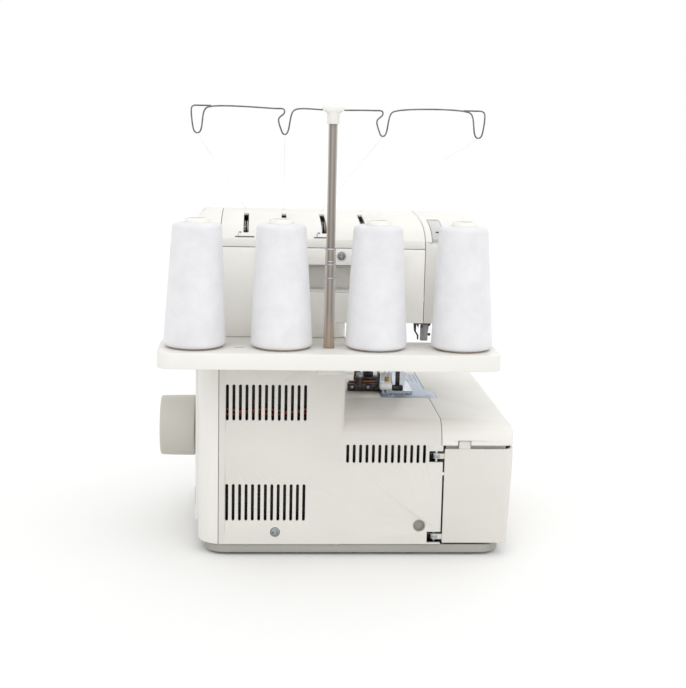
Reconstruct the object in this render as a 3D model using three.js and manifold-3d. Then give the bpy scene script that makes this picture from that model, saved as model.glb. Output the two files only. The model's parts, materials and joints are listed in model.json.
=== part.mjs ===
// Four-thread serger (overlock machine) with its cone stand. Millimetres, +Z up.
// The operator's side faces -Y, the handwheel is at +X, the cone stand is behind at +Y.
// Sizes are laid out from the middle of the base (X), the rear panel's face (Y) and the table (Z).
// The finished group is then moved so that its origin is under the middle of its box.
import * as THREE from "three";
import { mergeVertices } from "three/addons/utils/BufferGeometryUtils.js";
import Module from "manifold-3d";

const wasm = await Module();
wasm.setup();

// ---------- driving dimensions ----------
const wall = 2.5; // moulded covers
const gap = 0.3; // between pieces that touch
const seam = 0.5; // between neighbouring covers
const arcSteps = 6; // facets on each rounded corner

const tray = { halfWidth: 136, front: -236, rear: -2, bottom: 2.6, top: 10.7, corner: 20 };
const foot = { radius: 9, inset: 22 };
const bodyFloor = tray.top + gap;
const bed = { left: -145, top: 126, rearRadius: 20, leftRadius: 7, waist: -141, corner: 9 };
const column = { left: 10, right: 142, front: -238, rear: 0, top: 198, corner: 24, innerCorner: 9 };
const head = { left: -117, right: 148, front: -222, rear: -20, bottom: 213, top: 305, corner: 22 };
const sidePad = { out: 145, front: -200, rear: -32, low: 24, top: 190 }; // round the handwheel
const seamX = 123; // end cover to rear panel
const faceSeamX = -60.3; // face cover to arm covers
const rearSeamZ = head.top - 25; // arm rear cover to top cover
const ledgeZ = column.top + 1; // rear panel to arm rear cover
const splitY = -102; // rear panel to front panel
const clothPlate = { seamX: -78.4, bottom: 104.5 };
const door = { edgeX: -81.5, front: -214, bottom: 12.6, top: 101.2 };
const doorHinge = { x: -74.4, y: -5, radius: 1.5, knuckle: 3, panelEdge: -79.9, width: 12.6, height: 10.4 };
const doorHingeZ = [93.9, 17.9];
const looperCover = { right: 58, rear: -214.6, bottom: 13.6, pivotY: -234, pivotZ: 17 };
const vent = { slots: 13, pitch: 5.8, width: 2.6 };
const vents = [
  { start: 115.4, low: 126.4, high: 159.3 },
  { start: 115.4, low: 33.2, high: 67.5 },
  { start: 6.8, low: 87.7, high: 104.8 },
];
const rearHole = { x: -60, z: 28.9, radius: 5.7, depth: 5 };
const grip = { left: -35, right: 60, low: 240, high: 265, depth: 22 };
const threadSlots = { xs: [100.4, 65.7, 30.2, -5.5], width: 4.5, rear: -28, front: -98 };

const handwheel = { y: -90, z: 100.5, radius: 28.8, inner: 147, outer: 180 };
const shaft = { radius: 6, end: 12 };
const pulley = { x: 111, width: 8, radius: 22 };
const motor = { y: -150, z: 52, radius: 27, left: 30, right: 96, pulleyRadius: 9, shaftRadius: 3 };
const belt = { thickness: 2, width: 6 };

const needlePlate = { left: -78.1, right: -32.4, thickness: 2.4, tabLeft: -86.5, tabFront: -141 };
const latchTab = { left: -105, right: -94.5, top: 108.3, clearance: 1.2, recess: 1.4 };
const plateHole = { halfWidth: 5, front: -155, rear: -150 }; // where the needles enter
const feedSlot = { xs: [-60, -48.5], width: 6.5, front: -148, rear: -116 };
const feedDog = { clearance: 1.5, front: -145, rear: -119, low: 112, shoulder: 118 };
const barOpening = { left: -88, right: -36, front: -178, rear: -110 }; // under the head
const needleBar = { x: -50, y: -152, radius: 3.2, top: head.top - 19, spacing: 4.2 };
const needle = { radius: 0.7, tip: 136, top: 168 };
const clampBlock = { bottom: 166, top: 178, half: 6 };
const presserBar = { x: -50, y: -133, radius: 3.5, top: head.top - 17 };
const presserFoot = { left: -64, right: -38, front: -171, rear: -118, thickness: 3, shankTop: 152 };
const knife = { x: -34, thickness: 2, armLow: 129, armHigh: 138, rear: -142, front: -158, tip: 118 };
const knifePost = { left: -15, right: -8, foot: 90 };
const fixedKnife = { thickness: 2.5, foot: 100, low: 104, top: bed.top - 0.8, ledge: 8 };
const looper = { hubRadius: 4.5, hubLength: 10, thickness: 3 };
const upperLooper = { x: -16, z: 62, front: -166 };
const lowerLooper = { x: -62, z: 44, front: -146 };
const lever = {
  x: -72,
  width: 10.4,
  rear: -24,
  low: head.top - 23,
  pivotY: -66,
  pivotZ: head.top - 11,
  radius: 4,
};

// The cast frame: a floor plate, two upright walls and an arm that carries the bars.
const casting = { left: -70, right: 105, front: -205, rear: -30, plate: 5, wall: 6 };
const castWall = { front: -185, rear: -60 };
const bearingWall = { left: 14, front: -112, rear: -68, top: 118 };
const castArm = { left: -66, front: -166, rear: -104, low: head.bottom + 13, top: head.bottom + 25 };

const stand = { middle: 27.8, width: 292, front: 4, rear: 68, bottom: 186, top: 200, corner: 12 };
const bracket = { halfWidth: 10, bottom: 178 };
const coneX = [115.5, 40.8, -40.8, -115.5].map((x) => stand.middle + x);
const coneY = 34;
const cone = { bottom: stand.top + 1.6, top: 306, tubeTop: 310.4, radius: 26.8, topRadius: 21.4 };
const tube = { radius: 21.6, topRadius: 10.1, wall: 1.6 };
const spoolPin = { radius: 4, baseRadius: 11, top: 285 };
const wire = { radius: 0.65, z: head.top + 97, drop: 21, rise: 1.5 };
const pole = { outer: 4.6, wallT: 0.5, outerTop: 286, innerFoot: 257, innerTop: wire.z - 4 };
const cap = {
  bottom: wire.z - 11.5,
  neckTop: wire.z - 2,
  top: wire.z + 3,
  neckRadius: 5.2,
  width: 18,
  depth: 12,
};
const hookX = [113.5, 40.5, -42, -123].map((x) => stand.middle + x);
const strand = { radius: 0.3, slotY: -92 };

const dial = { radius: 13.5, length: 12, z: 250, shaftRadius: 3 };
const lengthDial = { x: 98, z: 152, radius: 12, length: 8 };
const diffLever = { x: 62, z: 152, radius: 9, length: 6, handle: 20 };
const powerSwitch = { y: -150, z: 44, width: 14, height: 24, depth: 9 };
const inlet = { y: -62, z: 42, width: 26, height: 18, depth: 12 };

// ---------- solids ----------
const ROUND = 24; // sides on a turned piece

function solid(geometry) {
  const bare = geometry.index ? geometry.toNonIndexed() : geometry;
  bare.deleteAttribute("normal");
  bare.deleteAttribute("uv");
  const merged = mergeVertices(bare, 1e-4);
  return new wasm.Manifold(
    new wasm.Mesh({
      numProp: 3,
      vertProperties: merged.attributes.position.array,
      triVerts: new Uint32Array(merged.index.array),
    }),
  );
}

function block([x0, x1], [y0, y1], [z0, z1]) {
  const box = new THREE.BoxGeometry(x1 - x0, y1 - y0, z1 - z0);
  return solid(box.translate((x0 + x1) / 2, (y0 + y1) / 2, (z0 + z1) / 2));
}

// An outline in X and Y, raised from z0 to z1.
function prismZ(shape, z0, z1) {
  const raised = new THREE.ExtrudeGeometry(shape, {
    depth: z1 - z0,
    bevelEnabled: false,
    curveSegments: arcSteps,
  });
  return solid(raised.translate(0, 0, z0));
}

// An outline in Y and Z, drawn out from x0 to x1.
function prismX(shape, x0, x1) {
  const raised = new THREE.ExtrudeGeometry(shape, {
    depth: x1 - x0,
    bevelEnabled: false,
    curveSegments: arcSteps,
  });
  const turn = new THREE.Matrix4().makeBasis(
    new THREE.Vector3(0, 1, 0),
    new THREE.Vector3(0, 0, 1),
    new THREE.Vector3(1, 0, 0),
  );
  return solid(raised.applyMatrix4(turn).translate(x0, 0, 0));
}

// An outline in X and Z, drawn out from y0 to y1.
function prismY(shape, y0, y1) {
  const raised = new THREE.ExtrudeGeometry(shape, {
    depth: y1 - y0,
    bevelEnabled: false,
    curveSegments: arcSteps,
  });
  return solid(raised.rotateX(Math.PI / 2).translate(0, y1, 0));
}

// A round bar along the named axis, centred on `at` across it and running from `from` to `to`.
function bar(axis, radius, from, to, at, sides = ROUND) {
  const rod = new THREE.CylinderGeometry(radius, radius, to - from, sides);
  const middle = (from + to) / 2;
  if (axis === "x") return solid(rod.rotateZ(Math.PI / 2).translate(middle, at[0], at[1]));
  if (axis === "y") return solid(rod.translate(at[0], middle, at[1]));
  return solid(rod.rotateX(Math.PI / 2).translate(at[0], at[1], middle));
}

// A profile of [radius, z] pairs turned about an upright axis through (x, y).
function turned(profile, x, y, sides = ROUND) {
  const points = profile.map(([r, z]) => new THREE.Vector2(r, z));
  return solid(
    new THREE.LatheGeometry(points, sides)
      .rotateX(Math.PI / 2)
      .translate(x, y, 0),
  );
}

// A round wire swept along points.
function swept(points, radius, steps, sides) {
  const path = new THREE.CatmullRomCurve3(points, false, "centripetal");
  const ring = new THREE.Shape();
  for (let i = 0; i < sides; i += 1) {
    const angle = (2 * Math.PI * i) / sides;
    const place = [radius * Math.cos(angle), radius * Math.sin(angle)];
    if (i === 0) ring.moveTo(...place);
    else ring.lineTo(...place);
  }
  ring.closePath();
  return solid(new THREE.ExtrudeGeometry(ring, { steps, extrudePath: path }));
}

function joined(...pieces) {
  return pieces.reduce((whole, piece) => whole.add(piece));
}

// A rectangle with its own radius at each corner: (x1,y1), (x0,y1), (x0,y0), (x1,y0).
function roundedRect(x0, x1, y0, y1, [a, b, c, d]) {
  const shape = new THREE.Shape();
  shape.moveTo(x1, y0 + d);
  shape.lineTo(x1, y1 - a);
  shape.absarc(x1 - a, y1 - a, a, 0, Math.PI / 2, false);
  shape.lineTo(x0 + b, y1);
  shape.absarc(x0 + b, y1 - b, b, Math.PI / 2, Math.PI, false);
  shape.lineTo(x0, y0 + c);
  shape.absarc(x0 + c, y0 + c, c, Math.PI, 1.5 * Math.PI, false);
  shape.lineTo(x1 - d, y0);
  shape.absarc(x1 - d, y0 + d, d, 1.5 * Math.PI, 2 * Math.PI, false);
  return shape;
}

function evenCorners(radius) {
  return [radius, radius, radius, radius];
}

// ---------- the outer form of the body, shrunk by `inset` for its hollow ----------
function bedForm(inset, floor) {
  const plan = roundedRect(
    bed.left + inset,
    column.right - column.corner,
    column.front + inset,
    column.rear - inset,
    [1, bed.corner, bed.corner, 1],
  );
  const top = bed.top - inset;
  const rear = column.rear - inset;
  const front = column.front + inset;
  const section = roundedRect(front, rear, floor, top, [bed.rearRadius, 8, 1, 1]);
  const outline = new THREE.Shape();
  const left = bed.left + inset;
  outline.moveTo(bed.waist + inset, floor);
  outline.lineTo(column.right, floor);
  outline.lineTo(column.right, top);
  outline.lineTo(left + 3 + bed.leftRadius, top);
  outline.quadraticCurveTo(left + 3, top, left + 1.5, top - bed.leftRadius);
  outline.lineTo(left, door.top);
  outline.closePath();
  return prismZ(plan, floor, top)
    .intersect(prismX(section, left, column.right))
    .intersect(prismY(outline, front, rear));
}

function columnForm(inset, floor) {
  const [outer, inner] = [column.corner - inset, column.innerCorner - inset];
  const plan = roundedRect(
    column.left + inset,
    column.right - inset,
    column.front + inset,
    column.rear - inset,
    [outer, inner, inner, outer],
  );
  return prismZ(plan, floor, column.top - inset);
}

// The head's section across its length: upright at the back up to the cover seam, then domed.
function headSection(inset) {
  const rear = head.rear - inset;
  const front = head.front + inset;
  const top = head.top - inset;
  const crown = (head.front + head.rear) / 2 - 14;
  const section = new THREE.Shape();
  section.moveTo(rear, head.bottom + inset);
  section.lineTo(rear, rearSeamZ);
  section.bezierCurveTo(rear, top - 9, rear - 22, top - 1, crown, top);
  section.bezierCurveTo(crown - 50, top, front, top - 14, front, top - 42);
  section.lineTo(front, head.bottom + inset + 4);
  section.lineTo(front + 4, head.bottom + inset);
  section.closePath();
  return section;
}

function headForm(inset) {
  const plan = roundedRect(
    head.left + inset,
    head.right - inset,
    head.front + inset,
    head.rear - inset,
    evenCorners(head.corner - inset),
  );
  const front = roundedRect(
    head.left + inset,
    head.right - inset,
    head.bottom + inset,
    head.top + 1,
    [14, 16, 4, 4],
  );
  return prismZ(plan, head.bottom + inset, head.top - inset)
    .intersect(prismX(headSection(inset), head.left, head.right))
    .intersect(prismY(front, head.front, head.rear));
}

// The neck joins the column to the head, set back to the head's own faces.
function neckForm(inset, floor) {
  const [outer, inner] = [column.corner - inset, column.innerCorner - inset];
  const plan = roundedRect(
    column.left + inset,
    column.right - inset,
    head.front + inset,
    head.rear - inset,
    [outer, inner, inner, outer],
  );
  return prismZ(plan, floor, head.bottom + 4 * wall);
}

function bodyForm(inset, floor = bodyFloor) {
  const lower = joined(bedForm(inset, floor), columnForm(inset, floor));
  return joined(lower, neckForm(inset, floor), headForm(inset));
}

const outerForm = bodyForm(0);
const shell = outerForm.subtract(bodyForm(wall, bodyFloor - 5));

// The shell is parted into its covers by blocks that reach past it.
const far = 400;
const all = [-far, far];

// ---------- covers ----------
function slotOutline(x, low, high, width) {
  const radius = width / 2;
  const shape = new THREE.Shape();
  shape.absarc(x, high - radius, radius, 0, Math.PI, false);
  shape.absarc(x, low + radius, radius, Math.PI, 2 * Math.PI, false);
  shape.closePath();
  return shape;
}

function ventCutters() {
  const cutters = [];
  for (const group of vents) {
    for (let i = 0; i < vent.slots; i += 1) {
      const outline = slotOutline(group.start - i * vent.pitch, group.low, group.high, vent.width);
      const raised = new THREE.ExtrudeGeometry(outline, {
        depth: 2 * wall + 2,
        bevelEnabled: false,
        curveSegments: 3,
      });
      cutters.push(solid(raised.rotateX(Math.PI / 2).translate(0, wall, 0)));
    }
  }
  return joined(...cutters);
}

function makeRearPanel() {
  const lower = block(
    [doorHinge.panelEdge, seamX - seam / 2],
    [splitY + gap / 2, far],
    [0, clothPlate.bottom],
  );
  const upper = block(
    [clothPlate.seamX + seam / 2, seamX - seam / 2],
    [splitY + gap / 2, far],
    [clothPlate.bottom - 1, ledgeZ - gap / 2],
  );
  let panel = shell.intersect(joined(lower, upper)).subtract(ventCutters());
  for (const z of doorHingeZ) {
    const half = doorHinge.height / 2;
    panel = panel.subtract(
      block(
        [doorHinge.panelEdge - 1, doorHinge.panelEdge + doorHinge.width],
        [-12, 5],
        [z - half, z + half],
      ),
    );
  }
  // A blind round recess with its cup behind the wall.
  const at = [rearHole.x, rearHole.z];
  const cup = bar("y", rearHole.radius + wall, -wall - rearHole.depth, -wall + 0.5, at);
  const bore = bar("y", rearHole.radius, -rearHole.depth, 5, at);
  return panel.add(cup).subtract(bore);
}

function makeEndCover() {
  const hub = bar("x", shaft.radius + 3, 100, 200, [handwheel.y, handwheel.z]);
  const socket = block(
    [100, 200],
    [inlet.y - inlet.width / 2 - gap, inlet.y + inlet.width / 2 + gap],
    [inlet.z - inlet.height / 2 - gap, inlet.z + inlet.height / 2 + gap],
  );
  const rocker = block(
    [100, 200],
    [powerSwitch.y - powerSwitch.width / 2 - 1, powerSwitch.y + powerSwitch.width / 2 + 1],
    [powerSwitch.z - powerSwitch.height / 2 - 1, powerSwitch.z + powerSwitch.height / 2 + 1],
  );
  const pad = block(
    [column.right - wall / 2, sidePad.out],
    [sidePad.front, sidePad.rear],
    [sidePad.low, sidePad.top],
  );
  return shell
    .intersect(block([seamX + seam / 2, far], all, all))
    .add(pad)
    .subtract(joined(hub, socket, rocker));
}

function makeArmRearCover() {
  const cover = shell.intersect(
    block(
      [faceSeamX + seam / 2, seamX - seam / 2],
      [splitY + gap / 2, far],
      [ledgeZ + gap / 2, rearSeamZ - seam / 2],
    ),
  );
  const pocket = block(
    [grip.left - wall, grip.right + wall],
    [head.rear - grip.depth - wall, head.rear - wall / 2],
    [grip.low - wall, grip.high + wall],
  );
  const hollow = block(
    [grip.left, grip.right],
    [head.rear - grip.depth, head.rear + 5],
    [grip.low, grip.high],
  );
  return cover.add(pocket).subtract(hollow).subtract(needleOpening());
}

// The opening under the head that the needle bar and presser bar come down through.
function needleOpening() {
  return block(
    [barOpening.left, barOpening.right],
    [barOpening.front, barOpening.rear],
    [head.bottom - 5, head.bottom + wall + 3],
  );
}

function makeTopCover() {
  let cover = shell.intersect(
    block([faceSeamX + seam / 2, seamX - seam / 2], all, [rearSeamZ + seam / 2, far]),
  );
  for (const x of threadSlots.xs) {
    const half = threadSlots.width / 2;
    cover = cover.subtract(
      block([x - half, x + half], [threadSlots.front, threadSlots.rear], [rearSeamZ, far]),
    );
  }
  return cover;
}

function looperZone(slack, floor = looperCover.bottom) {
  const outline = new THREE.Shape();
  outline.moveTo(-far, floor);
  outline.lineTo(looperCover.right + slack, floor);
  outline.lineTo(looperCover.right + slack, bed.top + 5);
  outline.lineTo(clothPlate.seamX + seam / 2 - slack, bed.top + 5);
  outline.lineTo(clothPlate.seamX + seam / 2 - slack, clothPlate.bottom - seam + slack);
  outline.lineTo(-far, clothPlate.bottom - seam + slack);
  outline.closePath();
  return prismY(outline, column.front - 5, looperCover.rear + slack);
}

function makeFrontPanel() {
  const upper = block(
    [faceSeamX + seam / 2, seamX - seam / 2],
    [-far, splitY - gap / 2],
    [bed.top + 2, rearSeamZ - seam / 2],
  );
  const lower = block(
    [needlePlate.right + seam, seamX - seam / 2],
    [-far, splitY - gap / 2],
    [0, bed.top + 3],
  );
  let panel = shell.intersect(joined(upper, lower)).subtract(looperZone(seam, 0));
  panel = panel.subtract(needleOpening());
  for (const x of threadSlots.xs) {
    panel = panel.subtract(bar("y", dial.shaftRadius + gap, -260, -180, [x, dial.z]));
  }
  panel = panel.subtract(bar("y", dial.shaftRadius + gap, -260, -200, [lengthDial.x, lengthDial.z]));
  panel = panel.subtract(bar("y", dial.shaftRadius + gap, -260, -200, [diffLever.x, diffLever.z]));
  // Slot in the bed that the knife's arm dips into.
  return panel.subtract(
    block(
      [needlePlate.right, knifePost.right + 2],
      [knife.front - 2, knife.rear + 2],
      [bed.top - 6, bed.top + 3],
    ),
  );
}

// The slot for the presser lever reaches as far back as its lower corner swings.
function makeFaceCover() {
  const half = lever.width / 2 + seam;
  const reach = Math.hypot(lever.rear - lever.pivotY, lever.pivotZ - lever.low);
  const slot = block(
    [lever.x - half, lever.x + half],
    [lever.pivotY - lever.radius - 5, lever.pivotY + reach + seam],
    [lever.low - 2, far],
  );
  return shell
    .intersect(block([-far, faceSeamX - seam / 2], all, [head.bottom - 1, far]))
    .subtract(needleOpening())
    .subtract(slot);
}

// The steel plate's tab, which lies in a pocket of the cloth plate, cut off at its outer corner.
function plateTab(slack) {
  const left = needlePlate.tabLeft - slack;
  const rear = splitY - gap + slack;
  const front = needlePlate.tabFront - slack;
  const outline = new THREE.Shape();
  outline.moveTo(needlePlate.left + 1, rear);
  outline.lineTo(left, rear);
  outline.lineTo(left, front + 12);
  outline.lineTo(left + 6, front);
  outline.lineTo(needlePlate.left + 1, front);
  outline.closePath();
  return prismZ(outline, bed.top - needlePlate.thickness - slack, bed.top + (slack ? 3 : 0));
}

function makeClothPlate() {
  const plate = shell.intersect(
    block([-far, clothPlate.seamX - seam / 2], all, [clothPlate.bottom, bed.top + 3]),
  );
  const ledge = block(
    [needlePlate.tabLeft - 3, clothPlate.seamX - seam / 2],
    [needlePlate.tabFront - 3, splitY + 3],
    [bed.top - 2 * wall, bed.top - wall + 0.1],
  );
  const notch = block(
    [latchTab.left - gap, latchTab.right + latchTab.clearance],
    [-wall - 2, 5],
    [clothPlate.bottom - 1, latchTab.top + gap],
  );
  return plate.add(ledge).subtract(plateTab(gap)).subtract(notch);
}

function makeNeedlePlate() {
  const z0 = bed.top - needlePlate.thickness;
  const plate = block(
    [needlePlate.left, needlePlate.right],
    [looperCover.rear + seam, splitY - gap],
    [z0, bed.top],
  );
  const through = [z0 - 1, bed.top + 1];
  const needleHole = block(
    [needleBar.x - plateHole.halfWidth, needleBar.x + plateHole.halfWidth],
    [plateHole.front, plateHole.rear],
    through,
  );
  const feedSlots = feedSlot.xs.map((x) =>
    block([x, x + feedSlot.width], [feedSlot.front, feedSlot.rear], through),
  );
  const knifeNotch = block(
    [knife.x - 4, knife.x + knife.thickness + 1.2],
    [knife.front - 4, knife.rear + 4],
    through,
  );
  return plate.add(plateTab(0)).subtract(joined(needleHole, ...feedSlots, knifeNotch));
}

// ---------- doors ----------
function makeLooperCover() {
  return shell.intersect(looperZone(0)).intersect(block([-far, looperCover.right], all, all));
}

function makeSideDoor() {
  let skin = shell.intersect(
    block([-far, door.edgeX], [door.front, far], [door.bottom, door.top]),
  );
  for (const z of doorHingeZ) {
    const half = doorHinge.height / 2 - 2.6;
    const arm = block(
      [door.edgeX - 10, doorHinge.x],
      [doorHinge.y - doorHinge.knuckle + 0.4, -wall + 0.4],
      [z - half, z + half],
    );
    const knuckle = bar("z", doorHinge.knuckle, z - half, z + half, [doorHinge.x, doorHinge.y]);
    skin = skin.add(arm).add(knuckle);
  }
  const tab = block(
    [latchTab.left, latchTab.right],
    [-wall - latchTab.recess / 2, -latchTab.recess],
    [door.top - 2, latchTab.top],
  );
  const pinBore = bar("z", doorHinge.radius + gap, 5, 110, [doorHinge.x, doorHinge.y], 16);
  return skin.add(tab).subtract(pinBore);
}

// ---------- base ----------
function makeTray() {
  const corners = evenCorners(tray.corner);
  const plan = roundedRect(-tray.halfWidth, tray.halfWidth, tray.front, tray.rear, corners);
  const rim = prismZ(plan, tray.bottom, tray.top);
  const well = roundedRect(
    -tray.halfWidth + wall,
    tray.halfWidth - wall,
    tray.front + wall,
    tray.rear - wall,
    evenCorners(tray.corner - wall),
  );
  return rim.subtract(prismZ(well, tray.bottom + 3, tray.top + 1));
}

function makeFoot(x, y) {
  return turned(
    [
      [0, 0],
      [foot.radius - 1, 0],
      [foot.radius, tray.bottom - gap],
      [0, tray.bottom - gap],
    ],
    x,
    y,
    20,
  );
}

// ---------- frame and drive ----------
const frameFloor = tray.bottom + 3 + gap;

function makeFrame() {
  const { left, right, front, rear, plate, wall: thickness } = casting;
  const floorPlate = block([left, right], [front, rear], [frameFloor, frameFloor + plate]);
  const endWall = block(
    [right - thickness, right],
    [castWall.front, castWall.rear],
    [frameFloor, castArm.top],
  );
  const innerWall = block(
    [bearingWall.left, bearingWall.left + thickness],
    [bearingWall.front, bearingWall.rear],
    [frameFloor, bearingWall.top],
  );
  const arm = block(
    [castArm.left, right],
    [castArm.front, castArm.rear],
    [castArm.low, castArm.top],
  );
  const armBore = (rod) => bar("z", rod.radius + gap, castArm.low - 5, castArm.top + 5, [rod.x, rod.y]);
  const bores = [
    bar("x", shaft.radius + gap, 0, right + 5, [handwheel.y, handwheel.z]),
    bar("x", motor.shaftRadius + gap, right - 2 * thickness, right + 5, [motor.y, motor.z]),
    armBore(needleBar),
    armBore(presserBar),
  ];
  return joined(floorPlate, endWall, innerWall, arm).subtract(joined(...bores));
}

function makeMainShaft() {
  return joined(
    bar("x", shaft.radius, shaft.end, handwheel.outer - 8, [handwheel.y, handwheel.z]),
    bar("x", pulley.radius, pulley.x, pulley.x + pulley.width, [handwheel.y, handwheel.z]),
  );
}

// Handwheel: a dished drum with a rounded outer rim and a bore for the shaft.
function makeHandwheel() {
  const r = handwheel.radius;
  const length = handwheel.outer - handwheel.inner;
  const rim = 4;
  const profile = [[0, length - 2]];
  profile.push([r * 0.6, length - 0.6]);
  for (let i = 0; i <= 3; i += 1) {
    const angle = (Math.PI / 2) * (1 - i / 3);
    profile.push([r - rim + rim * Math.cos(angle), length - rim + rim * Math.sin(angle)]);
  }
  profile.push([r, 2], [r - 2, 0], [shaft.radius + 7, 0], [0, 0]);
  const points = profile.reverse().map(([x, y]) => new THREE.Vector2(x, y));
  const drum = new THREE.LatheGeometry(points, 40).rotateZ(-Math.PI / 2);
  const wheel = solid(drum.translate(handwheel.inner, handwheel.y, handwheel.z));
  return wheel.subtract(
    bar("x", shaft.radius + gap, 0, handwheel.outer - 8 + gap, [handwheel.y, handwheel.z]),
  );
}

function makeMotor() {
  return joined(
    bar("x", motor.radius, motor.left, motor.right, [motor.y, motor.z]),
    bar("x", 9, motor.left - 6, motor.left + 1, [motor.y, motor.z]),
  );
}

function makeMotorPulley() {
  return joined(
    bar("x", motor.shaftRadius, motor.right + gap, pulley.x + pulley.width, [motor.y, motor.z]),
    bar("x", motor.pulleyRadius, pulley.x, pulley.x + pulley.width, [motor.y, motor.z]),
  );
}

// The outline that a belt takes round two pulleys, in Y and Z.
function beltOutline(a, ra, b, rb) {
  const along = Math.atan2(b[1] - a[1], b[0] - a[0]);
  const span = Math.hypot(b[0] - a[0], b[1] - a[1]);
  const lean = Math.acos((ra - rb) / span);
  const shape = new THREE.Shape();
  shape.absarc(a[0], a[1], ra, along + lean, along - lean + 2 * Math.PI, false);
  shape.absarc(b[0], b[1], rb, along - lean, along + lean, false);
  shape.closePath();
  return shape;
}

function makeBelt() {
  const big = [handwheel.y, handwheel.z];
  const small = [motor.y, motor.z];
  const start = pulley.x + (pulley.width - belt.width) / 2;
  const loop = (extra, x0, x1) =>
    prismX(beltOutline(big, pulley.radius + extra, small, motor.pulleyRadius + extra), x0, x1);
  return loop(gap + belt.thickness, start, start + belt.width).subtract(
    loop(gap, start - 1, start + belt.width + 1),
  );
}

// ---------- stitching parts ----------
function makeNeedleBar() {
  const at = [needleBar.x, needleBar.y];
  return bar("z", needleBar.radius, clampBlock.top - 5, needleBar.top, at, 16);
}

function makeNeedleClamp() {
  const half = clampBlock.half;
  const body = block(
    [needleBar.x - half, needleBar.x + half],
    [needleBar.y - half, needleBar.y + half],
    [clampBlock.bottom, clampBlock.top],
  );
  const screwAt = [needleBar.x, clampBlock.bottom + 5];
  const screw = bar("y", 2, needleBar.y - half - 5, needleBar.y, screwAt, 12);
  const boreFloor = clampBlock.top - 5 - gap;
  const bore = bar(
    "z",
    needleBar.radius + gap,
    boreFloor,
    clampBlock.top + 5,
    [needleBar.x, needleBar.y],
    16,
  );
  const seats = [-1, 1].map((side) => {
    const at = [needleBar.x + (side * needleBar.spacing) / 2, needleBar.y];
    return bar("z", needle.radius + 0.6, clampBlock.bottom - 5, needle.top + gap, at, 12);
  });
  return joined(body, screw).subtract(joined(bore, ...seats));
}

function makeNeedle(side) {
  const x = needleBar.x + (side * needleBar.spacing) / 2;
  return turned(
    [
      [0, needle.tip],
      [needle.radius * 0.7, needle.tip + 5],
      [needle.radius * 0.8, needle.tip + 20],
      [needle.radius + 0.2, needle.tip + 23],
      [needle.radius + 0.2, needle.top],
      [0, needle.top],
    ],
    x,
    needleBar.y,
    10,
  );
}

function makePresserBar() {
  const at = [presserBar.x, presserBar.y];
  return bar("z", presserBar.radius, presserFoot.shankTop - 10, presserBar.top, at, 16);
}

function makePresserFoot() {
  const z0 = bed.top + gap;
  const z1 = z0 + presserFoot.thickness;
  const sole = block(
    [presserFoot.left, presserFoot.right],
    [presserFoot.front, presserFoot.rear],
    [z0, z1],
  );
  const toe = new THREE.Shape();
  toe.moveTo(presserFoot.front + 2, z0);
  toe.lineTo(presserFoot.front + 2, z1);
  toe.lineTo(presserFoot.front - 8, z1 + 6);
  toe.lineTo(presserFoot.front - 10, z1 + 4);
  toe.closePath();
  const toes = prismX(toe, presserFoot.left, presserFoot.right);
  const shank = block(
    [presserBar.x - 6, presserBar.x + 6],
    [presserBar.y - 5.5, presserBar.y + 5.5],
    [z1 - 1, presserFoot.shankTop],
  );
  const needleSlot = block(
    [needleBar.x - plateHole.halfWidth, needleBar.x + plateHole.halfWidth],
    [plateHole.front - 1, plateHole.rear + 1],
    [z0 - 1, z1 + 1],
  );
  const bore = bar(
    "z",
    presserBar.radius + gap,
    presserFoot.shankTop - 10 - gap,
    presserFoot.shankTop + 5,
    [presserBar.x, presserBar.y],
    16,
  );
  return joined(sole, toes, shank).subtract(needleSlot).subtract(bore);
}

// The lifter lies flush in the dome of the head, on a hub just inside it.
function makePresserLever() {
  const half = lever.width / 2;
  const zone = block([lever.x - half, lever.x + half], [lever.pivotY, lever.rear], [lever.low, far]);
  const tab = outerForm.subtract(bodyForm(2 * wall, bodyFloor - 5)).intersect(zone);
  const hub = bar("x", lever.radius, lever.x - half, lever.x + half, [lever.pivotY, lever.pivotZ], 20);
  const link = block(
    [lever.x - half, lever.x + half],
    [lever.pivotY - 2, lever.pivotY + 6],
    [lever.pivotZ, lever.pivotZ + 5],
  );
  return joined(tab, link, hub);
}

// A looper's hub with its flat curved arm, whose outline is drawn from the pivot.
function makeLooper({ x, z, front }, arm) {
  const hub = bar("y", looper.hubRadius, front, front + looper.hubLength, [x, z], 16);
  return joined(hub, prismY(arm, front, front + looper.thickness));
}

function makeUpperLooper() {
  const { x, z } = upperLooper;
  const arm = new THREE.Shape();
  arm.moveTo(x - 4, z - 2);
  arm.lineTo(x + 4, z + 2);
  arm.quadraticCurveTo(x, z + 38, x - 28, z + 52);
  arm.lineTo(x - 29, z + 50);
  arm.quadraticCurveTo(x - 8, z + 36, x - 4, z - 2);
  return makeLooper(upperLooper, arm);
}

function makeLowerLooper() {
  const { x, z } = lowerLooper;
  const arm = new THREE.Shape();
  arm.moveTo(x - 4, z);
  arm.lineTo(x + 4, z - 2);
  arm.quadraticCurveTo(x + 4, z + 36, x + 28, z + 48);
  arm.lineTo(x + 27, z + 51);
  arm.quadraticCurveTo(x - 4, z + 44, x - 4, z);
  return makeLooper(lowerLooper, arm);
}

function makeUpperKnife() {
  const { x, thickness, armLow, armHigh, front, rear, tip } = knife;
  const { left, right, foot: postFoot } = knifePost;
  const depth = [front + 5, rear - 2];
  const blade = block([x, x + thickness], [front, rear], [tip, armHigh + 4]);
  const arm = block([x, right], depth, [armLow, armHigh]);
  const post = block([left, right], depth, [postFoot, armHigh]);
  const screwAt = [(left + right) / 2, (front + rear) / 2 + 1];
  const clampScrew = bar("z", 3.2, armHigh - 1, armHigh + 9, screwAt, 16);
  return joined(blade, arm, post, clampScrew);
}

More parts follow.
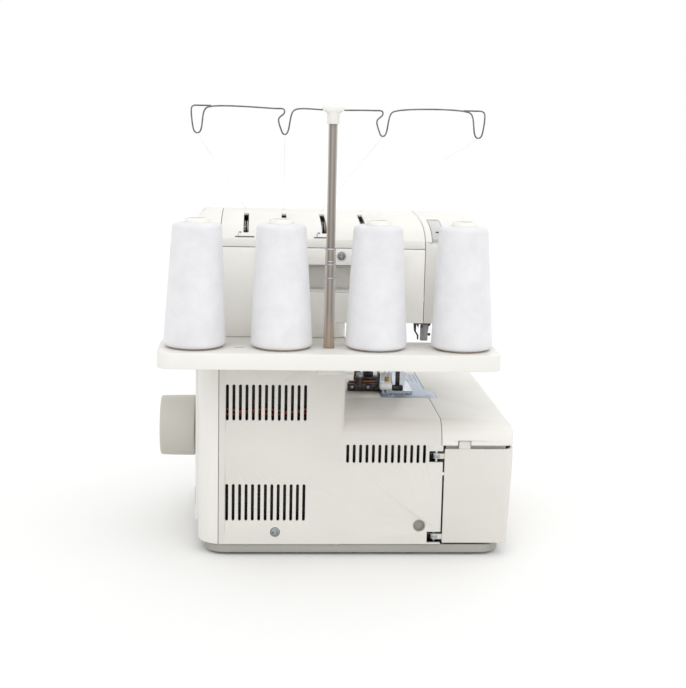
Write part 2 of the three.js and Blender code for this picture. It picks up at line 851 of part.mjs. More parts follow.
function makeLowerKnife() {
  const { thickness, foot: ledgeLow, low, top, ledge } = fixedKnife;
  const right = knife.x - gap;
  const left = right - thickness;
  return joined(
    block([left, right], [knife.front, knife.rear], [low, top]),
    block([left, right + ledge], [knife.front, knife.rear], [ledgeLow, low + 0.5]),
  );
}

function makeFeedDog() {
  const { clearance, front, rear, low, shoulder } = feedDog;
  const width = feedSlot.width - 2 * clearance;
  const rows = feedSlot.xs.map((x) =>
    block([x + clearance, x + clearance + width], [front, rear], [shoulder, bed.top - 0.1]),
  );
  const ends = [feedSlot.xs[0], feedSlot.xs[1] + feedSlot.width];
  return joined(block(ends, [front + 4, rear - 4], [low, shoulder + 1]), ...rows);
}

// ---------- cone stand ----------
function makeStand() {
  const left = stand.middle - stand.width / 2;
  const plan = roundedRect(left, left + stand.width, stand.front, stand.rear, [
    stand.corner,
    stand.corner,
    5,
    5,
  ]);
  const hollow = roundedRect(
    left + wall,
    left + stand.width - wall,
    stand.front + wall,
    stand.rear - wall,
    [stand.corner - wall, stand.corner - wall, 3, 3],
  );
  const plate = prismZ(plan, stand.bottom, stand.top).subtract(
    prismZ(hollow, stand.bottom - 1, stand.top - 3),
  );
  const pinProfile = [
    [0, stand.top - 1],
    [spoolPin.baseRadius, stand.top - 1],
    [spoolPin.baseRadius - 1, stand.top + 5],
    [spoolPin.radius, stand.top + 9],
    [spoolPin.radius * 0.8, spoolPin.top],
    [0, spoolPin.top + 2],
  ];
  const pins = coneX.map((x) => turned(pinProfile, x, coneY, 12));
  const poleAt = [stand.middle, coneY];
  const poleHole = bar("z", pole.outer + gap, stand.bottom - 20, stand.top + 5, poleAt, 20);
  return joined(plate, ...pins).subtract(poleHole);
}

function makeBracket() {
  const x = [stand.middle - bracket.halfWidth, stand.middle + bracket.halfWidth];
  const arm = block(x, [column.rear + gap, coneY + 12], [bracket.bottom, stand.bottom - gap]);
  const socket = bar("z", pole.outer + gap, bracket.bottom + 3, stand.top, [stand.middle, coneY], 20);
  return arm.subtract(socket);
}

function makeOuterPole() {
  const r = pole.outer;
  const inner = r - pole.wallT;
  const floor = bracket.bottom + 3 + gap;
  return turned(
    [
      [0, floor],
      [r, floor],
      [r, pole.outerTop],
      [inner, pole.outerTop],
      [inner, floor + 3],
      [0, floor + 3],
    ],
    stand.middle,
    coneY,
    24,
  );
}

function makeInnerPole() {
  const r = pole.outer - pole.wallT - gap;
  return bar("z", r, pole.innerFoot, pole.innerTop, [stand.middle, coneY], 24);
}

function makeCap() {
  const neck = bar("z", cap.neckRadius, cap.bottom, cap.neckTop, [stand.middle, coneY], 24);
  const flange = prismZ(
    roundedRect(
      stand.middle - cap.width / 2,
      stand.middle + cap.width / 2,
      coneY - cap.depth / 2,
      coneY + cap.depth / 2,
      evenCorners(3),
    ),
    cap.neckTop - 1,
    cap.top,
  );
  const poleBore = bar(
    "z",
    pole.outer - pole.wallT,
    cap.bottom - 1,
    pole.innerTop + gap,
    [stand.middle, coneY],
    24,
  );
  const wireBore = bar("x", wire.radius + gap, -200, 200, [coneY, wire.z], 12);
  return joined(neck, flange).subtract(poleBore).subtract(wireBore);
}

// One wire bent into four rounded hooks: the outer two end in a curl, the inner two are kinks.
function makeGuideWire() {
  const at = (x, y, z) => new THREE.Vector3(x, coneY + y, z);
  const { z, drop, rise } = wire;
  const low = z - drop;
  const curl = (x, side) => [
    at(x - 11 * side, -15, z + rise),
    at(x - 2 * side, -13, z + rise),
    at(x + 3.6 * side, -6, z + rise - 0.3),
    at(x + 5 * side, -1, z + rise - 3),
    at(x + 3.3 * side, 0, low + 3.6),
    at(x + 2 * side, 0, low + 0.9),
    at(x, 0, low),
    at(x - 2 * side, 0, low + 0.9),
    at(x - 3.3 * side, 0, low + 3.6),
    at(x - 5.8 * side, 0, z - 2.6),
    at(x - 9 * side, 0, z + 0.4),
  ];
  const kink = (x) => [
    at(x + 9, 0, z + 0.3),
    at(x + 1, 0, z - 0.3),
    at(x + 0.6, 0, z - 3.2),
    at(x + 5.2, 0, z - 8.2),
    at(x + 2.9, 0, low + 3.4),
    at(x + 1.6, 0, low + 0.8),
    at(x, 0, low),
    at(x - 1.6, 0, low + 0.8),
    at(x - 2.9, 0, low + 3.4),
    at(x - 6.2, 0, z - 2.6),
    at(x - 9.5, 0, z),
  ];
  const points = [
    ...curl(hookX[0], 1),
    ...kink(hookX[1]),
    at(stand.middle + 6, 0, z),
    at(stand.middle - 6, 0, z),
    ...kink(hookX[2]),
    ...curl(hookX[3], -1).reverse(),
  ];
  return swept(points, wire.radius, 200, 6);
}

function makeConeTube(x) {
  const floor = stand.top + gap;
  const r = tube.radius;
  const top = tube.topRadius;
  return turned(
    [
      [r - tube.wall, floor],
      [r, floor],
      [r - 0.4, floor + 5],
      [top, cone.tubeTop - 1],
      [top - 0.6, cone.tubeTop],
      [top - tube.wall, cone.tubeTop],
      [r - tube.wall - 0.5, floor + 5],
      [r - tube.wall, floor],
    ],
    x,
    coneY,
    20,
  );
}

// The tube's outer radius at a height, which the wound thread sits on.
function tubeRadiusAt(z) {
  const z0 = stand.top + gap + 5;
  const z1 = cone.tubeTop - 1;
  const r0 = tube.radius - 0.4;
  return r0 + ((tube.topRadius - r0) * (z - z0)) / (z1 - z0);
}

function makeConeThread(x) {
  const inside = (z) => tubeRadiusAt(z) + gap + 0.2;
  const { bottom, top, radius, topRadius } = cone;
  return turned(
    [
      [inside(bottom), bottom],
      [radius - 3, bottom],
      [radius - 0.6, bottom + 1.6],
      [radius, bottom + 4],
      [topRadius + 0.2, top - 5],
      [topRadius - 1, top - 1.5],
      [topRadius - 3, top],
      [inside(top), top + 1.5],
      [inside(bottom), bottom],
    ],
    x,
    coneY,
    24,
  );
}

// A thread from the mouth of its cone, over its hook and down into its slot.
function makeStrand(index) {
  const coneTop = new THREE.Vector3(coneX[index], coneY - tube.topRadius + 4, cone.tubeTop + 1);
  const hook = new THREE.Vector3(hookX[index], coneY, wire.z - wire.drop + wire.radius + 1.1);
  const slot = new THREE.Vector3(threadSlots.xs[index], strand.slotY, head.top + 2);
  const rising = new THREE.LineCurve3(coneTop, hook.clone().add(new THREE.Vector3(0, 0.4, -1)));
  const falling = new THREE.LineCurve3(hook.clone().add(new THREE.Vector3(0, -0.4, -1)), slot);
  const points = [rising.getPoint(0), rising.getPoint(0.5), rising.getPoint(1), hook];
  points.push(falling.getPoint(0), falling.getPoint(0.5), falling.getPoint(1));
  return swept(points, strand.radius, 14, 5);
}

// ---------- controls ----------
function knob(x, z, radius, length, face) {
  const body = bar("y", radius, face - gap - length, face - gap, [x, z], 24);
  const outer = face - gap - length;
  const ridge = block([x - 1, x + 1], [outer - 1.5, outer + 1], [z, z + radius - 1]);
  const stem = bar("y", dial.shaftRadius, face - gap - 1, face + 14, [x, z], 16);
  return joined(body, ridge, stem);
}

function makeDiffLever() {
  const { x, z, radius, length, handle } = diffLever;
  const hub = knob(x, z, radius, length, column.front);
  const arm = block(
    [x - 3, x + 3],
    [column.front - gap - length, column.front - gap],
    [z, z + handle],
  );
  return joined(hub, arm);
}

function makePowerSwitch() {
  const rocker = new THREE.Shape();
  const half = powerSwitch.height / 2;
  const face = sidePad.out;
  rocker.moveTo(face - powerSwitch.depth, powerSwitch.z - half + 2);
  rocker.lineTo(face + 1, powerSwitch.z - half);
  rocker.lineTo(face - 0.5, powerSwitch.z);
  rocker.lineTo(face + 2.5, powerSwitch.z + half);
  rocker.lineTo(face - powerSwitch.depth, powerSwitch.z + half - 2);
  rocker.closePath();
  const width = powerSwitch.width / 2;
  return prismY(rocker, powerSwitch.y - width, powerSwitch.y + width);
}

function makeInlet() {
  const { y, z, width, height, depth } = inlet;
  const face = sidePad.out + 1;
  const body = block(
    [face - depth, face],
    [y - width / 2, y + width / 2],
    [z - height / 2, z + height / 2],
  );
  const mouth = block(
    [face - depth + 2, face + 1],
    [y - width / 2 + 2, y + width / 2 - 2],
    [z - height / 2 + 2, z + height / 2 - 2],
  );
  const blades = [-5, 5].map((dy) =>
    block([face - depth + 1, face - 2], [y + dy - 1, y + dy + 1], [z - 3, z + 3]),
  );
  return joined(body.subtract(mouth), ...blades);
}

// ---------- materials ----------
const finish = (color, roughness, metalness = 0) => ({ color, roughness, metalness });
const finishes = {
  cover: finish(0xe9e8e2, 0.45),
  stand: finish(0xecebe7, 0.4),
  tray: finish(0xaeaca5, 0.55),
  rubber: finish(0x222222, 0.9),
  wheel: finish(0xcfcdc5, 0.45),
  steel: finish(0xb8bcc2, 0.3, 1),
  dark: finish(0x3a3a3c, 0.5, 0.6),
  casting: finish(0x9a9c9e, 0.6, 0.8),
  tube: finish(0x6b5646, 0.7),
  thread: finish(0xf2f2f2, 0.9),
  black: finish(0x1b1b1d, 0.6),
  grey: finish(0x9b9a97, 0.5),
};

const machine = new THREE.Group();

function place(name, piece, look) {
  const data = piece.getMesh();
  const geometry = new THREE.BufferGeometry();
  geometry.setAttribute("position", new THREE.BufferAttribute(data.vertProperties, 3));
  geometry.setIndex(new THREE.BufferAttribute(data.triVerts, 1));
  geometry.computeVertexNormals();
  const mesh = new THREE.Mesh(geometry, new THREE.MeshStandardMaterial(finishes[look]));
  mesh.name = name;
  machine.add(mesh);
}

// ---------- assembly ----------
place("base_tray", makeTray(), "tray");
const footX = tray.halfWidth - foot.inset;
place("foot_rear_right", makeFoot(footX, tray.rear - foot.inset), "rubber");
place("foot_rear_left", makeFoot(-footX, tray.rear - foot.inset), "rubber");
place("foot_front_right", makeFoot(footX, tray.front + foot.inset), "rubber");
place("foot_front_left", makeFoot(-footX, tray.front + foot.inset), "rubber");

place("rear_panel", makeRearPanel(), "cover");
place("end_cover", makeEndCover(), "cover");
place("arm_rear_cover", makeArmRearCover(), "cover");
place("top_cover", makeTopCover(), "cover");
place("front_panel", makeFrontPanel(), "cover");
place("face_cover", makeFaceCover(), "cover");
place("cloth_plate", makeClothPlate(), "cover");
place("needle_plate", makeNeedlePlate(), "steel");
place("looper_cover", makeLooperCover(), "cover");
place("side_door", makeSideDoor(), "cover");
place(
  "door_hinge_pin",
  bar("z", doorHinge.radius, bodyFloor + 0.8, door.top, [doorHinge.x, doorHinge.y], 16),
  "steel",
);

place("main_frame", makeFrame(), "casting");
place("main_shaft", makeMainShaft(), "steel");
place("handwheel", makeHandwheel(), "wheel");
place("motor", makeMotor(), "dark");
place("motor_pulley", makeMotorPulley(), "dark");
place("drive_belt", makeBelt(), "black");

place("needle_bar", makeNeedleBar(), "steel");
place("needle_clamp", makeNeedleClamp(), "steel");
place("needle_left", makeNeedle(-1), "steel");
place("needle_right", makeNeedle(1), "steel");
place("presser_bar", makePresserBar(), "dark");
place("presser_foot", makePresserFoot(), "steel");
place("presser_lever", makePresserLever(), "grey");
place("upper_looper", makeUpperLooper(), "steel");
place("lower_looper", makeLowerLooper(), "steel");
place("upper_knife", makeUpperKnife(), "dark");
place("lower_knife", makeLowerKnife(), "steel");
place("feed_dog", makeFeedDog(), "steel");

place("cone_stand", makeStand(), "stand");
place("stand_bracket", makeBracket(), "cover");
place("pole_outer_tube", makeOuterPole(), "steel");
place("pole_inner_tube", makeInnerPole(), "steel");
place("guide_cap", makeCap(), "stand");
place("guide_wire", makeGuideWire(), "dark");
coneX.forEach((x, i) => {
  place("cone_tube_" + (i + 1), makeConeTube(x), "tube");
  place("cone_thread_" + (i + 1), makeConeThread(x), "thread");
  place("thread_strand_" + (i + 1), makeStrand(i), "thread");
});

threadSlots.xs.forEach((x, i) => {
  place("tension_dial_" + (i + 1), knob(x, dial.z, dial.radius, dial.length, head.front), "grey");
});
place(
  "stitch_length_dial",
  knob(lengthDial.x, lengthDial.z, lengthDial.radius, lengthDial.length, column.front),
  "grey",
);
place("differential_lever", makeDiffLever(), "grey");
place("power_switch", makePowerSwitch(), "black");
place("power_inlet", makeInlet(), "black");

// Bring the origin under the middle of the box that the pieces fill.
const box = new THREE.Box3().setFromObject(machine);
const middle = box.getCenter(new THREE.Vector3());
machine.position.set(-middle.x, -middle.y, -box.min.z);

export default machine;
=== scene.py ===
"""A four-thread serger with its cone stand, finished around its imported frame.

Sizes are millimetres in the maker's layout: X from the middle of the base, Y from the rear
panel's face and Z from the table. at() turns such a place into the frame's metres.
"""

import json
import math
import random

import bmesh
import bpy
from mathutils import Matrix, Quaternion, Vector

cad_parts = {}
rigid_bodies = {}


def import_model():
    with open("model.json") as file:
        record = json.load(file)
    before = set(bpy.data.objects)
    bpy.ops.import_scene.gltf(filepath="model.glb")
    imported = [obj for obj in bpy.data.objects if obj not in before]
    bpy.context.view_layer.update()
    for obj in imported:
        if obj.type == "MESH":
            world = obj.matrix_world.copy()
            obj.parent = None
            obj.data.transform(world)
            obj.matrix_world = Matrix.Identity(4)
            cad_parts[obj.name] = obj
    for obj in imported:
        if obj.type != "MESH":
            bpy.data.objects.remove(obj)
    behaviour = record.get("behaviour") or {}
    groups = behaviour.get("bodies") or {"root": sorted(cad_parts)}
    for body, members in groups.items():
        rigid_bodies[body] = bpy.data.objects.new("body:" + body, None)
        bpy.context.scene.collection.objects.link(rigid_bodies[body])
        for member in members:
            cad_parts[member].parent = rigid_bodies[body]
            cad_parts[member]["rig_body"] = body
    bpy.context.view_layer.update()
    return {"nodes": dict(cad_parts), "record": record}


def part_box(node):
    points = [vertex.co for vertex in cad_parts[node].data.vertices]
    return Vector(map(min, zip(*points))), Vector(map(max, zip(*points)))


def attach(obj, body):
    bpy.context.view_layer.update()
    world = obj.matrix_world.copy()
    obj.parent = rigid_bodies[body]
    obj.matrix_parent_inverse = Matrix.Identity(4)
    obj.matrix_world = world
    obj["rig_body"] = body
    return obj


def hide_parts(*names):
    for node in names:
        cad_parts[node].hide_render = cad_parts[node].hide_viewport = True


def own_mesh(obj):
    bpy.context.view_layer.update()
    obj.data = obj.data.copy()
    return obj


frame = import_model()

MM = 0.001
SLOT_OF = {part["node"]: part["material_slot"] for part in frame["record"]["subparts"]}
tray_low, tray_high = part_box("base_tray")
MIDDLE_X = (tray_low.x + tray_high.x) / 2
REAR_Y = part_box("rear_panel")[1].y


# ---------- places ----------
def at(x, y, z):
    """A place in the frame, in metres, from the maker's layout in millimetres."""
    return Vector((MIDDLE_X + x * MM, REAR_Y + y * MM, z * MM))


def centre(node):
    """The middle of a CAD piece in the maker's layout, in millimetres."""
    low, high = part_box(node)
    middle = (low + high) / 2
    return Vector(((middle.x - MIDDLE_X) / MM, (middle.y - REAR_Y) / MM, middle.z / MM))


def corners(node):
    """The lowest and highest corner of a CAD piece in the maker's layout, in millimetres."""
    shift = Vector((MIDDLE_X, REAR_Y, 0))
    return [(corner - shift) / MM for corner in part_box(node)]


# ---------- camera, floor and light ----------
def add_camera():
    """The machine is seen from behind, a little to the handwheel's side and from above."""
    lens = bpy.data.cameras.new("rear_view")
    lens.lens = 71.74
    lens.sensor_width = 36
    camera = bpy.data.objects.new("rear_view", lens)
    bpy.context.scene.collection.objects.link(camera)
    camera.location = at(91.9, 1196.7, 413)
    aim = Vector((-0.0645, -0.9820, -0.1773)).to_track_quat("-Z", "Y")
    camera.rotation_mode = "QUATERNION"
    camera.rotation_quaternion = aim @ Quaternion((0, 0, 1), math.radians(1.26))
    bpy.context.scene.camera = camera


def add_light(name, direction, strength, spread):
    """An even, soft light from far off, along a direction; spread is its width in degrees."""
    lamp = bpy.data.lights.new(name, "SUN")
    lamp.energy = strength
    lamp.angle = math.radians(spread)
    holder = bpy.data.objects.new(name, lamp)
    bpy.context.scene.collection.objects.link(holder)
    holder.rotation_euler = Vector(direction).to_track_quat("-Z", "Y").to_euler()


def add_studio():
    """A white room: even walls, four soft lights and a pale floor."""
    scene = bpy.context.scene
    scene.view_settings.view_transform = "Standard"
    world = bpy.data.worlds.new("white_room")
    world.use_nodes = True
    world.node_tree.nodes["Background"].inputs["Color"].default_value = (1, 1, 1, 1)
    world.node_tree.nodes["Background"].inputs["Strength"].default_value = 1.0
    scene.world = world
    add_light("overhead_light", (-0.1, -0.5, -0.86), 0.5, 60)
    add_light("rear_light", (-0.15, -0.93, -0.33), 0.3, 50)
    add_light("needle_side_light", (0.72, -0.3, -0.62), 0.35, 50)
    add_light("front_light", (0.4, 0.8, -0.6), 0.2, 50)

    half = 8.0
    corners_of_floor = [(-half, -half, 0), (half, -half, 0), (half, half, 0), (-half, half, 0)]
    floor = mesh_object("floor", corners_of_floor, [(0, 1, 2, 3)])
    floor.data.materials.append(painted_floor())


# ---------- colour and nodes ----------
def colour(code):
    """A linear colour from an sRGB hex value."""
    channels = []
    for start in (1, 3, 5):
        value = int(code[start:start + 2], 16) / 255
        channels.append(value / 12.92 if value <= 0.04045 else ((value + 0.055) / 1.055) ** 2.4)
    return (*channels, 1.0)


def add(tree, kind, inputs=None, links=None, **settings):
    """Adds a shader node with its settings, its input values and the outputs linked to it."""
    node = tree.nodes.new("ShaderNode" + kind)
    for name, value in settings.items():
        setattr(node, name, value)
    for name, value in (inputs or {}).items():
        node.inputs[name].default_value = value
    for name, output in (links or {}).items():
        tree.links.new(output, node.inputs[name])
    return node


def per_metre(millimetres):
    """A noise or voronoi scale whose features are that far apart."""
    return 1 / (millimetres * MM)


def band_scale(millimetres):
    """A wave scale whose bands are that far apart: a wave repeats every pi/10 units."""
    return math.pi / 10 / (millimetres * MM)


def start_material(name, base, roughness, metallic=0.0):
    """A material with its plain values set on the shader, and its object coordinates."""
    material = bpy.data.materials.new(name)
    material.use_nodes = True
    tree = material.node_tree
    shader = tree.nodes["Principled BSDF"]
    shader.inputs["Base Color"].default_value = colour(base)
    shader.inputs["Roughness"].default_value = roughness
    shader.inputs["Metallic"].default_value = metallic
    place = add(tree, "TexCoord").outputs["Object"]
    return material, tree, shader, place


def blotches(tree, shader, place, light, dark, size, detail=3.0):
    """Slow changes of tone between two colours, that far apart in millimetres."""
    noise = add(tree, "TexNoise", {"Scale": per_metre(size), "Detail": detail}, {"Vector": place})
    ramp = add(tree, "ValToRGB", links={"Fac": noise.outputs["Fac"]})
    ramp.color_ramp.elements[0].position = 0.3
    ramp.color_ramp.elements[0].color = colour(dark)
    ramp.color_ramp.elements[1].position = 0.7
    ramp.color_ramp.elements[1].color = colour(light)
    tree.links.new(ramp.outputs["Color"], shader.inputs["Base Color"])
    return ramp


def uneven_gloss(tree, shader, place, low, high, size):
    """Roughness that wanders between two values, as handling and the mould leave it."""
    noise = add(tree, "TexNoise", {"Scale": per_metre(size), "Detail": 4.0}, {"Vector": place})
    span = add(
        tree, "MapRange",
        {"From Min": 0.3, "From Max": 0.7, "To Min": low, "To Max": high},
        {"Value": noise.outputs["Fac"]},
    )
    tree.links.new(span.outputs["Result"], shader.inputs["Roughness"])


def relief(tree, shader, height, strength, depth):
    """A bump whose full height is that many millimetres."""
    bump = add(tree, "Bump", {"Strength": strength, "Distance": depth * MM}, {"Height": height})
    tree.links.new(bump.outputs["Normal"], shader.inputs["Normal"])


# ---------- materials ----------
def painted_floor():
    """Matt white emulsion on board: even and dull, with the faintest roller texture."""
    material, tree, shader, place = start_material("emulsion_painted_board", "#EDEDEC", 0.85)
    blotches(tree, shader, place, "#EEEEED", "#ECECEB", 900)
    noise = add(tree, "TexNoise", {"Scale": per_metre(6)}, {"Vector": place})
    relief(tree, shader, noise.outputs["Fac"], 0.05, 0.2)
    return material


def moulded_abs(name, light, dark, roughness, grain=0.9):
    """ABS moulded in a spark-eroded tool: satin, slightly clouded, with an even fine grain.

    The real grain is about 0.1 mm, drawn coarser so that it shows.
    """
    material, tree, shader, place = start_material(name, light, roughness)
    shader.inputs["IOR"].default_value = 1.53
    blotches(tree, shader, place, light, dark, 70)
    uneven_gloss(tree, shader, place, roughness - 0.05, roughness + 0.06, 25)
    noise = add(tree, "TexNoise", {"Scale": per_metre(grain), "Detail": 2.0}, {"Vector": place})
    relief(tree, shader, noise.outputs["Fac"], 0.35, 0.05)
    return material


def ground_steel(name, light, dark, roughness, direction, spacing=0.5):
    """Ground and polished steel: bright, with fine straight scratches along one way.

    direction stretches the scratches; the real ones are under 0.1 mm apart, drawn coarser.
    """
    material, tree, shader, place = start_material(name, light, roughness, 1.0)
    stretched = add(tree, "Mapping", {"Scale": direction}, {"Vector": place})
    lines = add(
        tree, "TexNoise", {"Scale": per_metre(spacing), "Detail": 3.0},
        {"Vector": stretched.outputs["Vector"]},
    )
    blotches(tree, shader, place, light, dark, 18)
    span = add(
        tree, "MapRange", {"To Min": roughness - 0.08, "To Max": roughness + 0.12},
        {"Value": lines.outputs["Fac"]},
    )
    tree.links.new(span.outputs["Result"], shader.inputs["Roughness"])
    relief(tree, shader, lines.outputs["Fac"], 0.25, 0.02)
    return material


def blued_steel():
    """Steel blackened in hot oxide: dark and oily, browner where it is thin."""
    material, tree, shader, place = start_material("blued_steel", "#4A4848", 0.38, 0.85)
    blotches(tree, shader, place, "#5A5654", "#2E2D30", 9)
    uneven_gloss(tree, shader, place, 0.28, 0.5, 4)
    noise = add(tree, "TexNoise", {"Scale": per_metre(0.7), "Detail": 3.0}, {"Vector": place})
    relief(tree, shader, noise.outputs["Fac"], 0.2, 0.03)
    return material


def hardened_wire():
    """Spring wire drawn and nickel plated: dull grey, with a faint draw line."""
    material, tree, shader, place = start_material("nickel_plated_spring_wire", "#6E6A67", 0.4, 0.7)
    blotches(tree, shader, place, "#7E7A77", "#55514E", 6)
    uneven_gloss(tree, shader, place, 0.3, 0.48, 5)
    noise = add(tree, "TexNoise", {"Scale": per_metre(0.4)}, {"Vector": place})
    relief(tree, shader, noise.outputs["Fac"], 0.15, 0.02)
    return material


def die_cast():
    """Aluminium die cast and shot blasted: pale, dull and slightly pitted."""
    material, tree, shader, place = start_material("die_cast_aluminium", "#9FA0A2", 0.58, 0.85)
    blotches(tree, shader, place, "#A9AAAB", "#8C8D90", 20)
    cells = add(tree, "TexNoise", {"Scale": per_metre(1.1), "Detail": 5.0}, {"Vector": place})
    relief(tree, shader, cells.outputs["Fac"], 0.5, 0.12)
    return material


def drawn_tube(middle, radius):
    """Chromed telescopic tube: a dull grey-brown middle, bright along both of its sides.

    The bands are a painted reflection and run its whole length, as its draw lines do; it is browner near its
    foot.
    """
    material, tree, shader, place = start_material("chromed_drawn_tube", "#8C8682", 0.42, 0.35)
    split = add(tree, "SeparateXYZ", links={"Vector": place})
    side = at(middle, 0, 0).x
    across = add(
        tree, "MapRange", {"From Min": side - radius * MM, "From Max": side + radius * MM},
        {"Value": split.outputs["X"]},
    )
    # painted reflection: dark in the middle and bright at both sides across the tube, as chrome mirrors the
    # room
    bands = add(tree, "ValToRGB", links={"Fac": across.outputs["Result"]})
    reflection_stops = ((0, "#CFCAC5"), (0.14, "#B8B2AD"), (0.3, "#7A736D"), (0.55, "#958E88"),
             (0.74, "#746C66"), (0.86, "#BBB0A6"), (1, "#DAD1C8"))
    while len(bands.color_ramp.elements) < len(reflection_stops):
        bands.color_ramp.elements.new(0.5)
    for stop, (position, code) in zip(bands.color_ramp.elements, reflection_stops):
        stop.position = position
        stop.color = colour(code)
    height = add(
        tree, "MapRange", {"From Min": 0.2, "From Max": 0.232, "To Min": 0.75, "To Max": 0.0},
        {"Value": split.outputs["Z"]},
    )
    foot = add(
        tree, "Mix", {"B": colour("#B29C88")},
        {"Factor": height.outputs["Result"], "A": bands.outputs["Color"]}, data_type="RGBA",
    )
    tree.links.new(foot.outputs["Result"], shader.inputs["Base Color"])
    stretched = add(tree, "Mapping", {"Scale": (1.0, 1.0, 0.02)}, {"Vector": place})
    lines = add(tree, "TexNoise", {"Scale": per_metre(0.6)}, {"Vector": stretched.outputs["Vector"]})
    relief(tree, shader, lines.outputs["Fac"], 0.3, 0.02)
    return material


def copper_strip():
    """Phosphor bronze rolled and cut: warm brown, with rolling lines."""
    return ground_steel("rolled_phosphor_bronze", "#A8764E", "#7C5236", 0.34, (1.0, 0.05, 1.0))


def turned_brass():
    """Brass turned on a lathe: yellow and bright, with rings from the tool."""
    return ground_steel("turned_brass", "#C8A45C", "#A6823E", 0.28, (1.0, 1.0, 4.0))


def moulded_rubber():
    """Black rubber pressed in a mould: dull, greying, slightly dusty."""
    material, tree, shader, place = start_material("moulded_rubber", "#1C1C1C", 0.82)
    blotches(tree, shader, place, "#262625", "#151515", 8)
    noise = add(tree, "TexNoise", {"Scale": per_metre(0.8), "Detail": 4.0}, {"Vector": place})
    relief(tree, shader, noise.outputs["Fac"], 0.4, 0.08)
    return material


def ribbed_belt():
    """Neoprene drive belt with ribs across it, 2 mm apart."""
    material, tree, shader, place = start_material("neoprene_ribbed_belt", "#161616", 0.7)
    blotches(tree, shader, place, "#1E1E1E", "#101010", 6)
    ribs = add(
        tree, "TexWave", {"Scale": band_scale(2), "Distortion": 0.2}, {"Vector": place},
        bands_direction="Z",
    )
    relief(tree, shader, ribs.outputs["Fac"], 0.6, 0.3)
    return material


def wound_board():
    """Paper wound in a spiral and glued into a cone: brown board, faced white at the top.

    Its seam comes round every 18 mm.
    """
    material, tree, shader, place = start_material("spiral_wound_board", "#C9B7A6", 0.8)
    tone = blotches(tree, shader, place, "#CDBBAA", "#BCA792", 5)
    height = add(tree, "SeparateXYZ", links={"Vector": place})
    facing = add(
        tree, "MapRange", {"From Min": 0.29, "From Max": 0.3}, {"Value": height.outputs["Z"]},
    )
    faced = add(
        tree, "Mix", {"B": colour("#E9E7E2")},
        {"Factor": facing.outputs["Result"], "A": tone.outputs["Color"]}, data_type="RGBA",
    )
    tree.links.new(faced.outputs["Result"], shader.inputs["Base Color"])
    surface = add(tree, "UVMap")
    turned_uv = add(
        tree, "Mapping", {"Rotation": (0, 0, math.radians(72))},
        {"Vector": surface.outputs["UV"]},
    )
    spiral = add(
        tree, "TexWave", {"Scale": band_scale(18), "Distortion": 0.4},
        {"Vector": turned_uv.outputs["Vector"]}, wave_profile="SAW",
    )
    relief(tree, shader, spiral.outputs["Fac"], 0.5, 0.25)
    return material


def wound_polyester():
    """Spun polyester cross-wound on a cone: soft white, threads crossing at a shallow angle.

    The thread is 0.3 mm; its rows are drawn 1.6 mm apart so that they show.
    """
    material, tree, shader, place = start_material("cross_wound_spun_polyester", "#D9D9DB", 0.88)
    shader.inputs["Sheen Weight"].default_value = 0.35
    shader.inputs["Sheen Roughness"].default_value = 0.6
    blotches(tree, shader, place, "#DBDBDD", "#D3D3D6", 14, 5.0)
    surface = add(tree, "UVMap")
    heights = []
    for lean in (68, 112):
        laid = add(
            tree, "Mapping", {"Rotation": (0, 0, math.radians(lean))},
            {"Vector": surface.outputs["UV"]},
        )
        rows = add(
            tree, "TexWave", {"Scale": band_scale(1.6), "Distortion": 1.2, "Detail": 2.0},
            {"Vector": laid.outputs["Vector"]},
        )
        heights.append(rows.outputs["Fac"])
    woven = add(tree, "Math", links={0: heights[0], 1: heights[1]}, operation="MAXIMUM")
    fibres = add(tree, "TexNoise", {"Scale": per_metre(0.9), "Detail": 4.0}, {"Vector": place})
    both = add(tree, "Math", links={0: woven.outputs[0], 1: fibres.outputs["Fac"]}, operation="ADD")
    relief(tree, shader, both.outputs[0], 0.4, 0.18)
    return material


def spun_thread():
    """A single white thread, two plies twisted: the twist is drawn 1 mm long."""
    material, tree, shader, place = start_material("twisted_polyester_thread", "#F2F2F2", 0.85)
    blotches(tree, shader, place, "#F6F6F6", "#E6E6E8", 3)
    twist = add(tree, "TexWave", {"Scale": band_scale(1)}, {"Vector": place}, bands_direction="DIAGONAL")
    relief(tree, shader, twist.outputs["Fac"], 0.4, 0.05)
    return material


def insulated_wire(name, light, dark):
    """Soft PVC insulation: smooth and slightly waxy, with faint extrusion lines."""
    material, tree, shader, place = start_material(name, light, 0.45)
    blotches(tree, shader, place, light, dark, 4)
    lines = add(tree, "TexNoise", {"Scale": per_metre(0.7), "Detail": 3.0}, {"Vector": place})
    relief(tree, shader, lines.outputs["Fac"], 0.2, 0.03)
    return material


def printed_film():
    """A printed polyester label: smooth, slightly glossy, with a faint orange-peel."""
    material, tree, shader, place = start_material("printed_polyester_label", "#F4F5F6", 0.3)
    blotches(tree, shader, place, "#F6F7F8", "#ECEEF0", 12)
    noise = add(tree, "TexNoise", {"Scale": per_metre(1.5)}, {"Vector": place})
    relief(tree, shader, noise.outputs["Fac"], 0.1, 0.02)
    return material


def printing_ink(name, code):
    """Ink pad printed on plastic: thin, even and a little dull."""
    material, tree, shader, place = start_material(name, code, 0.5)
    noise = add(tree, "TexNoise", {"Scale": per_metre(0.8), "Detail": 3.0}, {"Vector": place})
    relief(tree, shader, noise.outputs["Fac"], 0.15, 0.01)
    uneven_gloss(tree, shader, place, 0.42, 0.58, 3)
    return material


